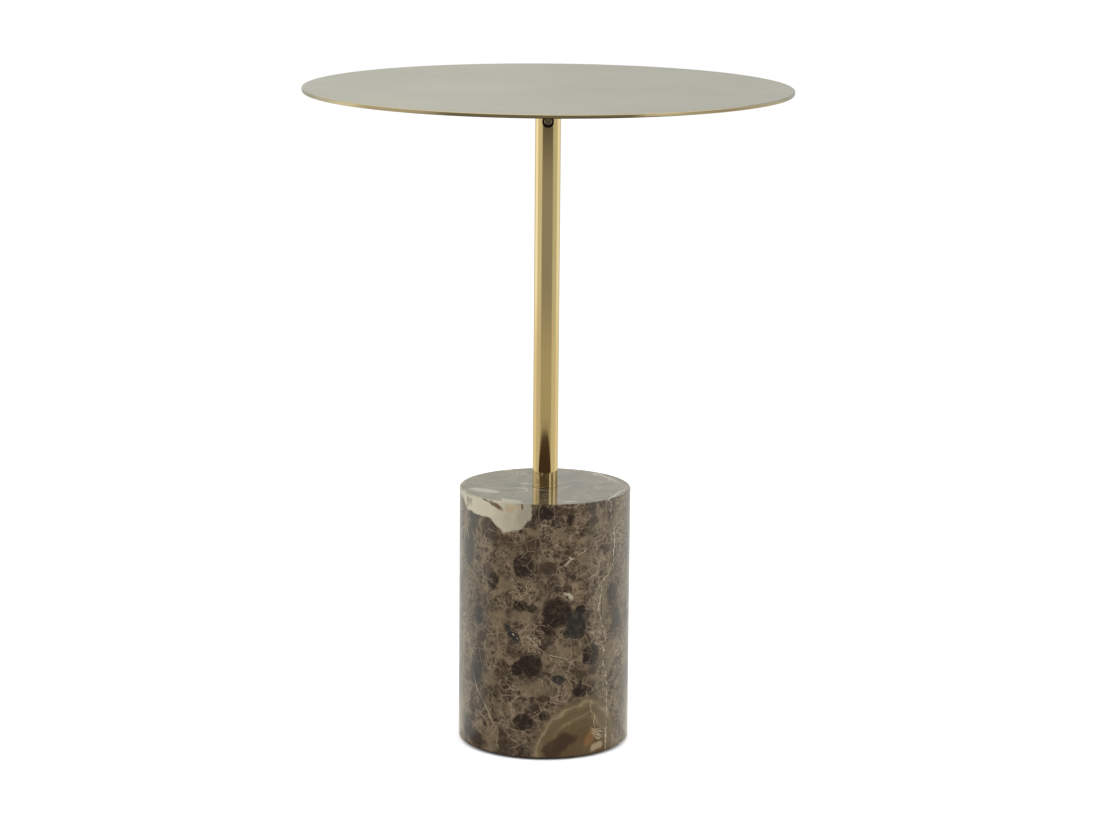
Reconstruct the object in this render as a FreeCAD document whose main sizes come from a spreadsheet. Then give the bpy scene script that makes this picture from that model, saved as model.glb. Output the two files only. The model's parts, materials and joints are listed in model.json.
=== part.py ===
"""Wine table: a thin round brass top on a polished brass stem that stands in a heavy marble cylinder.

Millimetres, +Z up. The origin is on the floor, under the middle of the base, and the clamping
screw in the stem faces -Y. The top lifts off and turns on a spigot once that screw is slackened.
"""
import FreeCAD, Part
import os
import Sketcher
from math import hypot
from FreeCAD import Base, Rotation, Vector

# Each row is a cell's alias, its value and what it measures.
SIZES = (
    # Table top
    ("table_height", 520, "floor to the upper face of the top"),
    ("top_diameter", 380, "round top"),
    ("top_thickness", 3, "sheet of the top"),
    ("top_rim_round", 0.6, "rounding of the top's two rim edges"),
    # Mounting plate under the top, held by four welded studs
    ("plate_diameter", 80, "mounting plate"),
    ("plate_thickness", 4, "mounting plate"),
    ("plate_rim_chamfer", 1.5, "lower rim of the mounting plate"),
    ("stud_count", 4, "studs, with a washer and a nut on each"),
    ("stud_circle_diameter", 56, "circle on which the studs stand"),
    ("stud_diameter", 4, "thread of the studs"),
    ("stud_overhang", 1.5, "stud end that shows below its nut"),
    ("stud_clearance", 0.25, "radial gap of a stud in the plate"),
    ("stud_collar_diameter", 5.5, "weld collar at the root of a stud"),
    ("stud_collar_height", 0.8, "weld collar at the root of a stud"),
    ("plate_washer_diameter", 9, "washer on a stud"),
    ("plate_washer_thickness", 0.8, "washer on a stud"),
    ("plate_nut_flats", 7, "nut on a stud, across its flats"),
    ("plate_nut_height", 3.2, "nut on a stud"),
    # Spigot that hangs from the plate into the stem
    ("spigot_diameter", 9, "shank of the spigot"),
    ("spigot_reach", 40, "spigot below the mounting plate"),
    ("spigot_head_diameter", 15, "head let into the plate"),
    ("spigot_head_height", 1.5, "head let into the plate"),
    ("spigot_end_chamfer", 1, "lead-in at the lower end"),
    ("spigot_clearance", 0.05, "radial running gap round the spigot"),
    ("spigot_end_gap", 1.5, "space below the spigot's end"),
    ("thrust_washer_thickness", 1, "washer between stem and plate"),
    ("thrust_washer_inset", 0.5, "washer's rim inside the stem's surface"),
    # Stem
    ("stem_diameter", 20, "outside of the stem tube"),
    ("stem_wall", 1.5, "wall of the stem tube"),
    ("stem_end_chamfer", 0.3, "outer edge at the tube's two ends"),
    ("braze_gap", 0.05, "radial gap of a plug brazed in the tube"),
    ("head_socket_floor", 5, "solid metal below the spigot's socket"),
    ("foot_plug_length", 30, "threaded plug in the tube's lower end"),
    # Clamping screw in the stem
    ("screw_drop", 17.5, "stem's upper end down to the screw's axis"),
    ("screw_diameter", 6, "thread of the screw"),
    ("screw_length", 4, "screw from nose to outer end"),
    ("screw_end_chamfer", 0.4, "both ends of the screw"),
    ("screw_key_flats", 3, "hexagon socket across its flats"),
    ("screw_key_depth", 2, "hexagon socket"),
    ("screw_pad_thickness", 0.9, "soft pad between screw and spigot"),
    ("screw_pad_clearance", 0.3, "pad's rim inside the thread"),
    ("screw_gap", 0.1, "pad to spigot when the screw is slack"),
    ("access_hole_diameter", 9, "hole in the tube in front of the screw"),
    ("access_hole_chamfer", 0.3, "broken edge of that hole"),
    ("cut_overrun", 2, "how far a cut runs out past the metal"),
    ("thread_clearance", 0.05, "radial gap of every thread"),
    # Marble base
    ("marble_diameter", 135, "marble cylinder"),
    ("marble_height", 203, "marble cylinder"),
    ("marble_arris", 0.8, "chamfer of the upper rim"),
    ("marble_foot_chamfer", 1, "chamfer of the lower rim"),
    ("stem_seat_depth", 30, "stem's seat in the marble"),
    ("stem_seat_clearance", 0.3, "radial gap round the stem"),
    ("stem_gasket_thickness", 1, "ring under the stem's lower end"),
    ("recess_diameter", 48, "recess for the nut under the marble"),
    ("recess_depth", 24, "recess for the nut under the marble"),
    # Tie rod that pulls the stem down into the marble
    ("rod_diameter", 10, "thread of the tie rod"),
    ("rod_engagement", 24, "rod screwed into the foot plug"),
    ("rod_end_chamfer", 1, "both ends of the rod"),
    ("rod_overhang", 3, "rod end that shows below the tie nut"),
    ("rod_bore_clearance", 1, "radial gap of the rod in the marble"),
    ("clamp_bore_clearance", 0.5, "radial gap of the rod in its washers"),
    ("clamp_gasket_thickness", 1.5, "ring between marble and clamp plate"),
    ("clamp_plate_diameter", 44, "large washer in the recess"),
    ("clamp_plate_thickness", 4, "large washer in the recess"),
    ("spring_washer_diameter", 18, "split washer on the rod"),
    ("spring_washer_thickness", 2.2, "split washer on the rod"),
    ("spring_washer_slit", 1.5, "gap in the split washer"),
    ("tie_nut_flats", 17, "nut on the rod, across its flats"),
    ("tie_nut_height", 8, "nut on the rod"),
    # Floor pad
    ("pad_thickness", 2, "felt disc under the marble"),
    ("pad_inset", 4, "felt's rim inside the marble's rim"),
)

# Heights above the floor, as expressions of the sizes.
MARBLE_FOOT = "Sizes.pad_thickness"
MARBLE_TOP = f"({MARBLE_FOOT} + Sizes.marble_height)"
STEM_SEAT = f"({MARBLE_TOP} - Sizes.stem_seat_depth)"
STEM_FOOT = f"({STEM_SEAT} + Sizes.stem_gasket_thickness)"
RECESS_CEILING = f"({MARBLE_FOOT} + Sizes.recess_depth)"
CLAMP_GASKET = f"({RECESS_CEILING} - Sizes.clamp_gasket_thickness)"
CLAMP_PLATE = f"({CLAMP_GASKET} - Sizes.clamp_plate_thickness)"
SPRING_WASHER = f"({CLAMP_PLATE} - Sizes.spring_washer_thickness)"
TIE_NUT = f"({SPRING_WASHER} - Sizes.tie_nut_height)"
ROD_FOOT = f"({TIE_NUT} - Sizes.rod_overhang)"
ROD_HEAD = f"({STEM_FOOT} + Sizes.rod_engagement)"
TOP_UNDERSIDE = "(Sizes.table_height - Sizes.top_thickness)"
PLATE_UNDERSIDE = f"({TOP_UNDERSIDE} - Sizes.plate_thickness)"
PLATE_WASHER = f"({PLATE_UNDERSIDE} - Sizes.plate_washer_thickness)"
PLATE_NUT = f"({PLATE_WASHER} - Sizes.plate_nut_height)"
STUD_FOOT = f"({PLATE_NUT} - Sizes.stud_overhang)"
SPIGOT_FOOT = f"({PLATE_UNDERSIDE} - Sizes.spigot_reach)"
STEM_HEAD = f"({PLATE_UNDERSIDE} - Sizes.thrust_washer_thickness)"
SOCKET_FLOOR = f"({SPIGOT_FOOT} - Sizes.spigot_end_gap)"
SOCKET_FOOT = f"({SOCKET_FLOOR} - Sizes.head_socket_floor)"
SCREW_LEVEL = f"({STEM_HEAD} - Sizes.screw_drop)"

# Radii and distances from the stem's axis that several pieces share.
STEM_RADIUS = "(Sizes.stem_diameter / 2)"
TUBE_BORE_RADIUS = f"({STEM_RADIUS} - Sizes.stem_wall)"
PLUG_RADIUS = f"({TUBE_BORE_RADIUS} - Sizes.braze_gap)"
SPIGOT_RADIUS = "(Sizes.spigot_diameter / 2)"
SPIGOT_BORE_RADIUS = f"({SPIGOT_RADIUS} + Sizes.spigot_clearance)"
SPIGOT_HEAD_RADIUS = "(Sizes.spigot_head_diameter / 2)"
ROD_RADIUS = "(Sizes.rod_diameter / 2)"
ROD_THREAD_RADIUS = f"({ROD_RADIUS} + Sizes.thread_clearance)"
ROD_BORE_RADIUS = f"({ROD_RADIUS} + Sizes.rod_bore_clearance)"
CLAMP_BORE_RADIUS = f"({ROD_RADIUS} + Sizes.clamp_bore_clearance)"
SCREW_PAD_START = f"({SPIGOT_RADIUS} + Sizes.screw_gap)"
SCREW_START = f"({SCREW_PAD_START} + Sizes.screw_pad_thickness)"
STUD_CIRCLE_RADIUS = "(Sizes.stud_circle_diameter / 2)"
STUD_HOLE_DIAMETER = "(Sizes.stud_diameter + 2 * Sizes.stud_clearance)"
STUD_THREAD_DIAMETER = "(Sizes.stud_diameter + 2 * Sizes.thread_clearance)"

doc = FreeCAD.newDocument("WineTable")
sheet = doc.addObject("Spreadsheet::Sheet", "Sizes")
for row, (alias, number, meaning) in enumerate(SIZES, start=1):
    sheet.set(f"A{row}", alias)
    sheet.set(f"B{row}", str(number))
    sheet.set(f"C{row}", meaning)
    sheet.setAlias(f"B{row}", alias)
doc.recompute()


def value(expression):
    """Number that an expression of the sizes has now, for a sketch's first draft."""
    return float(sheet.evalExpression(expression))


def new_body(label, level):
    """Body whose own zero height stands at the given level above the floor."""
    body = doc.addObject("PartDesign::Body", label)
    body.Label = label
    body.setExpression("Placement.Base.z", level)
    return body


def face_front(body, distance):
    """Turn a body's own +Z to point out of the stem along -Y, starting at a distance from its axis."""
    body.Placement.Rotation = Rotation(Vector(1, 0, 0), 90)
    body.setExpression("Placement.Base.y", f"-{distance}")


def new_sketch(body, role, name, level="0"):
    """Sketch on one of the body's own origin planes, raised from it by a level."""
    planes = {feature.Role: feature for feature in body.Origin.OriginFeatures}
    sketch = body.newObject("Sketcher::SketchObject", name)
    sketch.AttachmentSupport = (planes[role], [""])
    sketch.MapMode = "FlatFace"
    if level != "0":
        sketch.setExpression("AttachmentOffset.Base.z", level)
    return sketch


def bind(sketch, kind, *targets, size):
    """Add a dimension whose length follows an expression of the sizes."""
    index = sketch.addConstraint(Sketcher.Constraint(kind, *targets, value(size)))
    sketch.setExpression(f"Constraints[{index}]", size)


def pin_point(sketch, geometry, point, across, up):
    """Hold a point at its two distances from the sketch's origin; "0" puts it on the axis."""
    if across == "0":
        sketch.addConstraint(Sketcher.Constraint("PointOnObject", geometry, point, -2))
    else:
        bind(sketch, "DistanceX", -1, 1, geometry, point, size=across)
    if up == "0":
        sketch.addConstraint(Sketcher.Constraint("PointOnObject", geometry, point, -1))
    else:
        bind(sketch, "DistanceY", -1, 1, geometry, point, size=up)


def add_circle(sketch, diameter, across="0", up="0"):
    """Circle of a bound diameter about a pinned centre."""
    centre = Vector(value(across), value(up), 0)
    circle = sketch.addGeometry(Part.Circle(centre, Vector(0, 0, 1), value(diameter) / 2))
    bind(sketch, "Diameter", circle, size=diameter)
    pin_point(sketch, circle, 3, across, up)
    return circle


def add_polygon(sketch, corners):
    """Closed outline of straight sides whose corners are pinned (across, up) expressions."""
    points = [Vector(value(across), value(up), 0) for across, up in corners]
    sides = [sketch.addGeometry(Part.LineSegment(start, end))
             for start, end in zip(points, points[1:] + points[:1])]
    for side, next_side, corner in zip(sides, sides[1:] + sides[:1], corners):
        sketch.addConstraint(Sketcher.Constraint("Coincident", side, 2, next_side, 1))
        pin_point(sketch, side, 1, *corner)


def add_hexagon(sketch, flats, across="0"):
    """Regular hexagon of a bound width across its flats, with two corners along the X axis."""
    span = f"({flats} / cos(30))"
    circle = add_circle(sketch, span, across)
    sketch.setConstruction(circle, True)
    centre = Vector(value(across), 0, 0)
    reach = Vector(value(span) / 2, 0, 0)
    points = [centre + Rotation(Vector(0, 0, 1), 60 * corner).multVec(reach) for corner in range(6)]
    sides = [sketch.addGeometry(Part.LineSegment(start, end))
             for start, end in zip(points, points[1:] + points[:1])]
    for side, next_side in zip(sides, sides[1:] + sides[:1]):
        sketch.addConstraint(Sketcher.Constraint("Coincident", side, 2, next_side, 1))
        sketch.addConstraint(Sketcher.Constraint("PointOnObject", side, 1, circle))
    for side, next_side in zip(sides, sides[1:]):
        sketch.addConstraint(Sketcher.Constraint("Equal", side, next_side))
    sketch.addConstraint(Sketcher.Constraint("PointOnObject", sides[0], 1, -1))


def pad(body, sketch, name, length):
    """Extrude a sketch upwards by a bound length."""
    feature = body.newObject("PartDesign::Pad", name)
    feature.Profile = sketch
    feature.setExpression("Length", length)
    doc.recompute()
    return feature


def pocket(body, sketch, name, depth, against_normal=True):
    """Cut a sketch into the body by a bound depth, and make sure that the cut removed metal."""
    before = body.Shape.Volume
    feature = body.newObject("PartDesign::Pocket", name)
    feature.Profile = sketch
    feature.Reversed = not against_normal
    feature.setExpression("Length", depth)
    doc.recompute()
    if not body.Shape.Volume < before:
        raise RuntimeError(f"{body.Label}: {name} cuts nothing")
    return feature


def turn(body, corners):
    """Revolve a closed outline of (radius, height) corners about the body's Z axis."""
    sketch = new_sketch(body, "XZ_Plane", "outline")
    add_polygon(sketch, corners)
    feature = body.newObject("PartDesign::Revolution", "turning")
    feature.Profile = sketch
    feature.ReferenceAxis = (sketch, ["V_Axis"])
    feature.Angle = 360
    doc.recompute()
    return feature


def repeat_round(body, features):
    """Repeat features round the body's Z axis, once for each stud."""
    axes = {feature.Role: feature for feature in body.Origin.OriginFeatures}
    pattern = body.newObject("PartDesign::PolarPattern", "stud_circle")
    pattern.Originals = features
    pattern.Axis = (axes["Z_Axis"], [""])
    pattern.Angle = 360
    pattern.setExpression("Occurrences", "Sizes.stud_count")
    body.Tip = pattern
    doc.recompute()


def cut_screw_hole(body, diameter, height, name):
    """Cut a round hole from the body's axis out through its -Y side."""
    sketch = new_sketch(body, "XZ_Plane", f"{name}_outline")
    add_circle(sketch, diameter, up=height)
    return pocket(body, sketch, name, f"({STEM_RADIUS} + Sizes.cut_overrun)", against_normal=False)


def ring_body(label, level, thickness, outer, inner):
    """Flat ring between two radii."""
    body = new_body(label, level)
    turn(body, [(inner, "0"), (outer, "0"), (outer, thickness), (inner, thickness)])
    return body


def nut_body(label, level, flats, height, bore, across="0"):
    """Hexagon nut, its corners turned off at both faces to the width across the flats."""
    body = new_body(label, level)
    body.AllowCompound = True
    outline = new_sketch(body, "XY_Plane", "outline")
    add_hexagon(outline, flats, across)
    add_circle(outline, bore, across)
    blank = pad(body, outline, "blank", height)
    corner_height = f"({flats} * (1 / cos(30) - 1) / 2 * tan(30))"
    flat_edge = f"({across} + {flats} / 2)"
    corner_edge = f"({across} + {flats} / cos(30) / 2)"
    chamfer = new_sketch(body, "XZ_Plane", "corner_chamfer")
    add_polygon(chamfer, [(flat_edge, "0"), (corner_edge, "0"), (corner_edge, corner_height)])
    add_polygon(chamfer, [(flat_edge, height), (corner_edge, height),
                          (corner_edge, f"({height} - {corner_height})")])
    axis = chamfer.addGeometry(Part.LineSegment(Vector(value(across), 0, 0),
                                                Vector(value(across), value(height), 0)), True)
    pin_point(chamfer, axis, 1, across, "0")
    pin_point(chamfer, axis, 2, across, height)
    turned = body.newObject("PartDesign::Groove", "turned_corners")
    turned.Profile = chamfer
    turned.ReferenceAxis = (chamfer, ["Axis0"])
    turned.Angle = 360
    doc.recompute()
    if not turned.Shape.Volume < blank.Shape.Volume:
        raise RuntimeError(f"{label}: the corners are not turned off")
    return body, [blank, turned]


def make_table_top():
    """Flat round top with softly rounded rim edges."""
    body = new_body("table_top", TOP_UNDERSIDE)
    outline = new_sketch(body, "XY_Plane", "outline")
    add_circle(outline, "Sizes.top_diameter")
    sheet_metal = pad(body, outline, "sheet_metal", "Sizes.top_thickness")
    rim = [f"Edge{index}" for index, edge in enumerate(sheet_metal.Shape.Edges, start=1)
           if isinstance(edge.Curve, Part.Circle)]
    rounding = body.newObject("PartDesign::Fillet", "rim_round")
    rounding.Base = (sheet_metal, rim)
    rounding.setExpression("Radius", "Sizes.top_rim_round")
    return body


def make_top_studs():
    """Threaded studs welded under the top, each with a weld collar at its root."""
    body = new_body("top_studs", STUD_FOOT)
    body.AllowCompound = True
    shank_outline = new_sketch(body, "XY_Plane", "shank_outline")
    add_circle(shank_outline, "Sizes.stud_diameter", STUD_CIRCLE_RADIUS)
    stud_length = f"({TOP_UNDERSIDE} - {STUD_FOOT})"
    shank = pad(body, shank_outline, "shank", stud_length)
    collar_outline = new_sketch(body, "XY_Plane", "collar_outline",
                                f"{stud_length} - Sizes.stud_collar_height")
    add_circle(collar_outline, "Sizes.stud_collar_diameter", STUD_CIRCLE_RADIUS)
    collar = pad(body, collar_outline, "collar", "Sizes.stud_collar_height")
    repeat_round(body, [shank, collar])
    return body


def make_mounting_plate():
    """Round plate with a stepped hole for the spigot's head and relieved holes for the studs."""
    body = new_body("mounting_plate", PLATE_UNDERSIDE)
    rim = "(Sizes.plate_diameter / 2)"
    thickness = "Sizes.plate_thickness"
    head_step = f"({thickness} - Sizes.spigot_head_height)"
    head_radius = f"({SPIGOT_HEAD_RADIUS} + Sizes.spigot_clearance)"
    turn(body, [
        (SPIGOT_BORE_RADIUS, "0"),
        (f"({rim} - Sizes.plate_rim_chamfer)", "0"),
        (rim, "Sizes.plate_rim_chamfer"),
        (rim, thickness),
        (head_radius, thickness),
        (head_radius, head_step),
        (SPIGOT_BORE_RADIUS, head_step),
    ])
    hole_outline = new_sketch(body, "XY_Plane", "stud_hole_outline", thickness)
    add_circle(hole_outline, STUD_HOLE_DIAMETER, STUD_CIRCLE_RADIUS)
    hole = pocket(body, hole_outline, "stud_hole", thickness)
    relief_outline = new_sketch(body, "XY_Plane", "collar_relief_outline", thickness)
    relief_diameter = "(Sizes.stud_collar_diameter + 2 * Sizes.stud_clearance)"
    add_circle(relief_outline, relief_diameter, STUD_CIRCLE_RADIUS)
    relief = pocket(body, relief_outline, "collar_relief",
                    "(Sizes.stud_collar_height + Sizes.stud_clearance)")
    repeat_round(body, [hole, relief])
    return body


def make_plate_washers():
    """One plain washer on each stud, against the mounting plate."""
    body = new_body("plate_washers", PLATE_WASHER)
    body.AllowCompound = True
    outline = new_sketch(body, "XY_Plane", "outline")
    add_circle(outline, "Sizes.plate_washer_diameter", STUD_CIRCLE_RADIUS)
    add_circle(outline, STUD_HOLE_DIAMETER, STUD_CIRCLE_RADIUS)
    washer = pad(body, outline, "washer", "Sizes.plate_washer_thickness")
    repeat_round(body, [washer])
    return body


def make_plate_nuts():
    """One nut on each stud, against its washer."""
    body, features = nut_body("plate_nuts", PLATE_NUT, "Sizes.plate_nut_flats", "Sizes.plate_nut_height",
                              STUD_THREAD_DIAMETER, STUD_CIRCLE_RADIUS)
    repeat_round(body, features)
    return body


def make_top_spigot():
    """Headed pin: its head lies in the plate under the top, and its shank turns in the stem."""
    body = new_body("top_spigot", SPIGOT_FOOT)
    shoulder = "(Sizes.spigot_reach + Sizes.plate_thickness - Sizes.spigot_head_height)"
    head = "(Sizes.spigot_reach + Sizes.plate_thickness)"
    turn(body, [
        ("0", "0"),
        (f"({SPIGOT_RADIUS} - Sizes.spigot_end_chamfer)", "0"),
        (SPIGOT_RADIUS, "Sizes.spigot_end_chamfer"),
        (SPIGOT_RADIUS, shoulder),
        (SPIGOT_HEAD_RADIUS, shoulder),
        (SPIGOT_HEAD_RADIUS, head),
        ("0", head),
    ])
    return body


def make_thrust_washer():
    """Thin washer on which the top turns, between the stem's upper end and the mounting plate."""
    return ring_body("thrust_washer", STEM_HEAD, "Sizes.thrust_washer_thickness",
                     f"({STEM_RADIUS} - Sizes.thrust_washer_inset)", SPIGOT_BORE_RADIUS)


def on_stem_surface(edge):
    """True for an edge that starts on the stem's outer surface."""
    start = edge.valueAt(edge.FirstParameter)
    return abs(hypot(start.x, start.y) - value(STEM_RADIUS)) < Base.Precision.confusion()


def make_stem_tube():
    """Polished tube with broken end edges and an access hole in front of the clamping screw."""
    body = new_body("stem_tube", STEM_FOOT)
    length = f"({STEM_HEAD} - {STEM_FOOT})"
    chamfer = "Sizes.stem_end_chamfer"
    turn(body, [
        (TUBE_BORE_RADIUS, "0"),
        (f"({STEM_RADIUS} - {chamfer})", "0"),
        (STEM_RADIUS, chamfer),
        (STEM_RADIUS, f"({length} - {chamfer})"),
        (f"({STEM_RADIUS} - {chamfer})", length),
        (TUBE_BORE_RADIUS, length),
    ])
    hole = cut_screw_hole(body, "Sizes.access_hole_diameter", f"({SCREW_LEVEL} - {STEM_FOOT})",
                          "access_hole")
    mouth = [f"Edge{index}" for index, edge in enumerate(hole.Shape.Edges, start=1)
             if edge.BoundBox.ZLength > 0 and edge.BoundBox.YMax < 0 and on_stem_surface(edge)]
    breaking = body.newObject("PartDesign::Chamfer", "access_hole_edge")
    breaking.Base = (hole, mouth)
    breaking.setExpression("Size", "Sizes.access_hole_chamfer")
    return body


def make_stem_head_socket():
    """Bush brazed in the tube's upper end: a socket for the spigot, tapped for the clamping screw."""
    body = new_body("stem_head_socket", SOCKET_FOOT)
    length = f"({STEM_HEAD} - {SOCKET_FOOT})"
    turn(body, [
        ("0", "0"),
        (PLUG_RADIUS, "0"),
        (PLUG_RADIUS, length),
        (SPIGOT_BORE_RADIUS, length),
        (SPIGOT_BORE_RADIUS, "Sizes.head_socket_floor"),
        ("0", "Sizes.head_socket_floor"),
    ])
    cut_screw_hole(body, "(Sizes.screw_diameter + 2 * Sizes.thread_clearance)",
                   f"({SCREW_LEVEL} - {SOCKET_FOOT})", "tapped_hole")
    return body


def make_set_screw():
    """Headless clamping screw with a hexagon socket in its outer end."""
    body = new_body("set_screw", SCREW_LEVEL)
    face_front(body, SCREW_START)
    radius = "(Sizes.screw_diameter / 2)"
    chamfer = "Sizes.screw_end_chamfer"
    length = "Sizes.screw_length"
    turn(body, [
        ("0", "0"),
        (f"({radius} - {chamfer})", "0"),
        (radius, chamfer),
        (radius, f"({length} - {chamfer})"),
        (f"({radius} - {chamfer})", length),
        ("0", length),
    ])
    key_outline = new_sketch(body, "XY_Plane", "key_outline", length)
    add_hexagon(key_outline, "Sizes.screw_key_flats")
    pocket(body, key_outline, "key_socket", "Sizes.screw_key_depth")
    return body


def make_set_screw_pad():
    """Soft disc under the screw's nose, which keeps the screw from scoring the spigot."""
    body = new_body("set_screw_pad", SCREW_LEVEL)
    face_front(body, SCREW_PAD_START)
    outline = new_sketch(body, "XY_Plane", "outline")
    add_circle(outline, "(Sizes.screw_diameter - 2 * Sizes.screw_pad_clearance)")
    pad(body, outline, "disc", "Sizes.screw_pad_thickness")
    return body


def make_stem_foot_plug():
    """Threaded plug brazed in the tube's lower end, for the tie rod."""
    return ring_body("stem_foot_plug", STEM_FOOT, "Sizes.foot_plug_length", PLUG_RADIUS, ROD_THREAD_RADIUS)


def make_stem_gasket():
    """Soft ring between the stem's lower end and the floor of its seat."""
    return ring_body("stem_gasket", STEM_SEAT, "Sizes.stem_gasket_thickness", STEM_RADIUS, ROD_BORE_RADIUS)


def make_marble_base():
    """Marble cylinder with a seat for the stem, a bore for the tie rod and a recess for its nut."""
    body = new_body("marble_base", MARBLE_FOOT)
    rim = "(Sizes.marble_diameter / 2)"
    seat_radius = f"({STEM_RADIUS} + Sizes.stem_seat_clearance)"
    seat_floor = "(Sizes.marble_height - Sizes.stem_seat_depth)"
    recess_radius = "(Sizes.recess_diameter / 2)"
    turn(body, [
        (recess_radius, "0"),
        (f"({rim} - Sizes.marble_foot_chamfer)", "0"),
        (rim, "Sizes.marble_foot_chamfer"),
        (rim, "(Sizes.marble_height - Sizes.marble_arris)"),
        (f"({rim} - Sizes.marble_arris)", "Sizes.marble_height"),
        (seat_radius, "Sizes.marble_height"),
        (seat_radius, seat_floor),
        (ROD_BORE_RADIUS, seat_floor),
        (ROD_BORE_RADIUS, "Sizes.recess_depth"),
        (recess_radius, "Sizes.recess_depth"),
    ])
    return body


def make_tie_rod():
    """Threaded rod from the foot plug down through the marble to the tie nut."""
    body = new_body("tie_rod", ROD_FOOT)
    length = f"({ROD_HEAD} - {ROD_FOOT})"
    end_radius = f"({ROD_RADIUS} - Sizes.rod_end_chamfer)"
    turn(body, [
        ("0", "0"),
        (end_radius, "0"),
        (ROD_RADIUS, "Sizes.rod_end_chamfer"),
        (ROD_RADIUS, f"({length} - Sizes.rod_end_chamfer)"),
        (end_radius, length),
        ("0", length),
    ])
    return body


def make_clamp_gasket():
    """Soft ring that spreads the clamp plate's load on the marble."""
    return ring_body("clamp_gasket", CLAMP_GASKET, "Sizes.clamp_gasket_thickness",
                     "(Sizes.clamp_plate_diameter / 2)", CLAMP_BORE_RADIUS)


def make_clamp_plate():
    """Large steel washer in the recess under the marble."""
    return ring_body("clamp_plate", CLAMP_PLATE, "Sizes.clamp_plate_thickness",
                     "(Sizes.clamp_plate_diameter / 2)", CLAMP_BORE_RADIUS)


def make_spring_washer():
    """Split washer, drawn flat under the tie nut."""
    body = ring_body("spring_washer", SPRING_WASHER, "Sizes.spring_washer_thickness",
                     "(Sizes.spring_washer_diameter / 2)", CLAMP_BORE_RADIUS)
    outline = new_sketch(body, "XY_Plane", "slit_outline", "Sizes.spring_washer_thickness")
    rim = "(Sizes.spring_washer_diameter / 2)"
    slit = "Sizes.spring_washer_slit"
    add_polygon(outline, [("0", "0"), (rim, "0"), (rim, slit), ("0", slit)])
    pocket(body, outline, "slit", "Sizes.spring_washer_thickness")
    return body


def make_tie_nut():
    """Nut that pulls the tie rod and the stem down."""
    body, _ = nut_body("tie_nut", TIE_NUT, "Sizes.tie_nut_flats", "Sizes.tie_nut_height",
                       f"(2 * {ROD_THREAD_RADIUS})")
    return body


def make_base_pad():
    """Felt disc glued under the marble, which covers the recess and meets the floor."""
    body = new_body("base_pad", "0")
    outline = new_sketch(body, "XY_Plane", "outline")
    add_circle(outline, "(Sizes.marble_diameter - 2 * Sizes.pad_inset)")
    pad(body, outline, "felt", "Sizes.pad_thickness")
    return body


sub_parts = [
    make_table_top(),
    make_top_studs(),
    make_mounting_plate(),
    make_plate_washers(),
    make_plate_nuts(),
    make_top_spigot(),
    make_thrust_washer(),
    make_stem_tube(),
    make_stem_head_socket(),
    make_set_screw(),
    make_set_screw_pad(),
    make_stem_foot_plug(),
    make_stem_gasket(),
    make_marble_base(),
    make_tie_rod(),
    make_clamp_gasket(),
    make_clamp_plate(),
    make_spring_washer(),
    make_tie_nut(),
    make_base_pad(),
]
doc.recompute()

for item in doc.Objects:
    if {"Invalid", "Error"} & set(item.State):
        raise RuntimeError(f"{item.Label} failed: {item.State}")
for part in sub_parts:
    if part.Shape.isNull() or not part.Shape.isValid():
        raise RuntimeError(f"{part.Label} has no valid shape")

os.makedirs("parts", exist_ok=True)
for part in sub_parts:
    part.Shape.exportStep(os.path.join("parts", f"{part.Label}.step"))
    box = part.Shape.BoundBox
    print(f"{part.Label}: {len(part.Shape.Solids)} solid(s), {part.Shape.Volume:.1f} mm3, "
          f"z {box.ZMin:.2f} to {box.ZMax:.2f}")
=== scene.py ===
# %% [markdown]
# A wine table in brass and marble.
#
# The table has three parts that show: a thin satin brass top, a mirror-polished brass stem, and a heavy
# cylinder of dark brown marble. Their shapes are settled in the CAD frame, so this lesson is mostly about
# finishes: how polish, brushing and stone are told apart by what they reflect and by their small detail.
# The few soft, threaded or welded pieces that CAD keeps plain are worked out here as numpy surfaces.

import json
import math

import bpy
import numpy as np
from mathutils import Matrix, Vector


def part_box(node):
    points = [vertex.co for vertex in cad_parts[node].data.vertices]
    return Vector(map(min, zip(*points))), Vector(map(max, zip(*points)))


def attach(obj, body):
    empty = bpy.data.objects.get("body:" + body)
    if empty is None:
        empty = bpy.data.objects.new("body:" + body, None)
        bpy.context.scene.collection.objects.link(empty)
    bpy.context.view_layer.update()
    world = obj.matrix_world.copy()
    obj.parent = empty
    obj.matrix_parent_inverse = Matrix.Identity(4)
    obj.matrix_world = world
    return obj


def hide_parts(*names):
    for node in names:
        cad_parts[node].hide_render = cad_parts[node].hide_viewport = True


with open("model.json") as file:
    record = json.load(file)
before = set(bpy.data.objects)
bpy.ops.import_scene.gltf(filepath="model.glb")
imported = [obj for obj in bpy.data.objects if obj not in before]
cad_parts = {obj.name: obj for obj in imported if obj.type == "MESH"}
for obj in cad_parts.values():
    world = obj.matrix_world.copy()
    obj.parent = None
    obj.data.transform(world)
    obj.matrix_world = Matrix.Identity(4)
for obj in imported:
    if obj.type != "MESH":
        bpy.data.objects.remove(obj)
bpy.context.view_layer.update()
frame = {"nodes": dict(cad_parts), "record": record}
nodes = frame["nodes"]
scene = bpy.context.scene
scene.view_settings.view_transform = "Standard"
MM = 0.001

# %% [markdown]
# The camera.
#
# A product photo of a tall thing is taken from far off with a long lens, so that upright lines stay nearly
# parallel. Focal length, distance, height and tilt could be set by eye, but each changes the others, so they
# were found together, by fitting the outlines of the top and of the marble. The picture also leans by half
# a degree, which is a roll about the camera's own axis.

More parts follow.
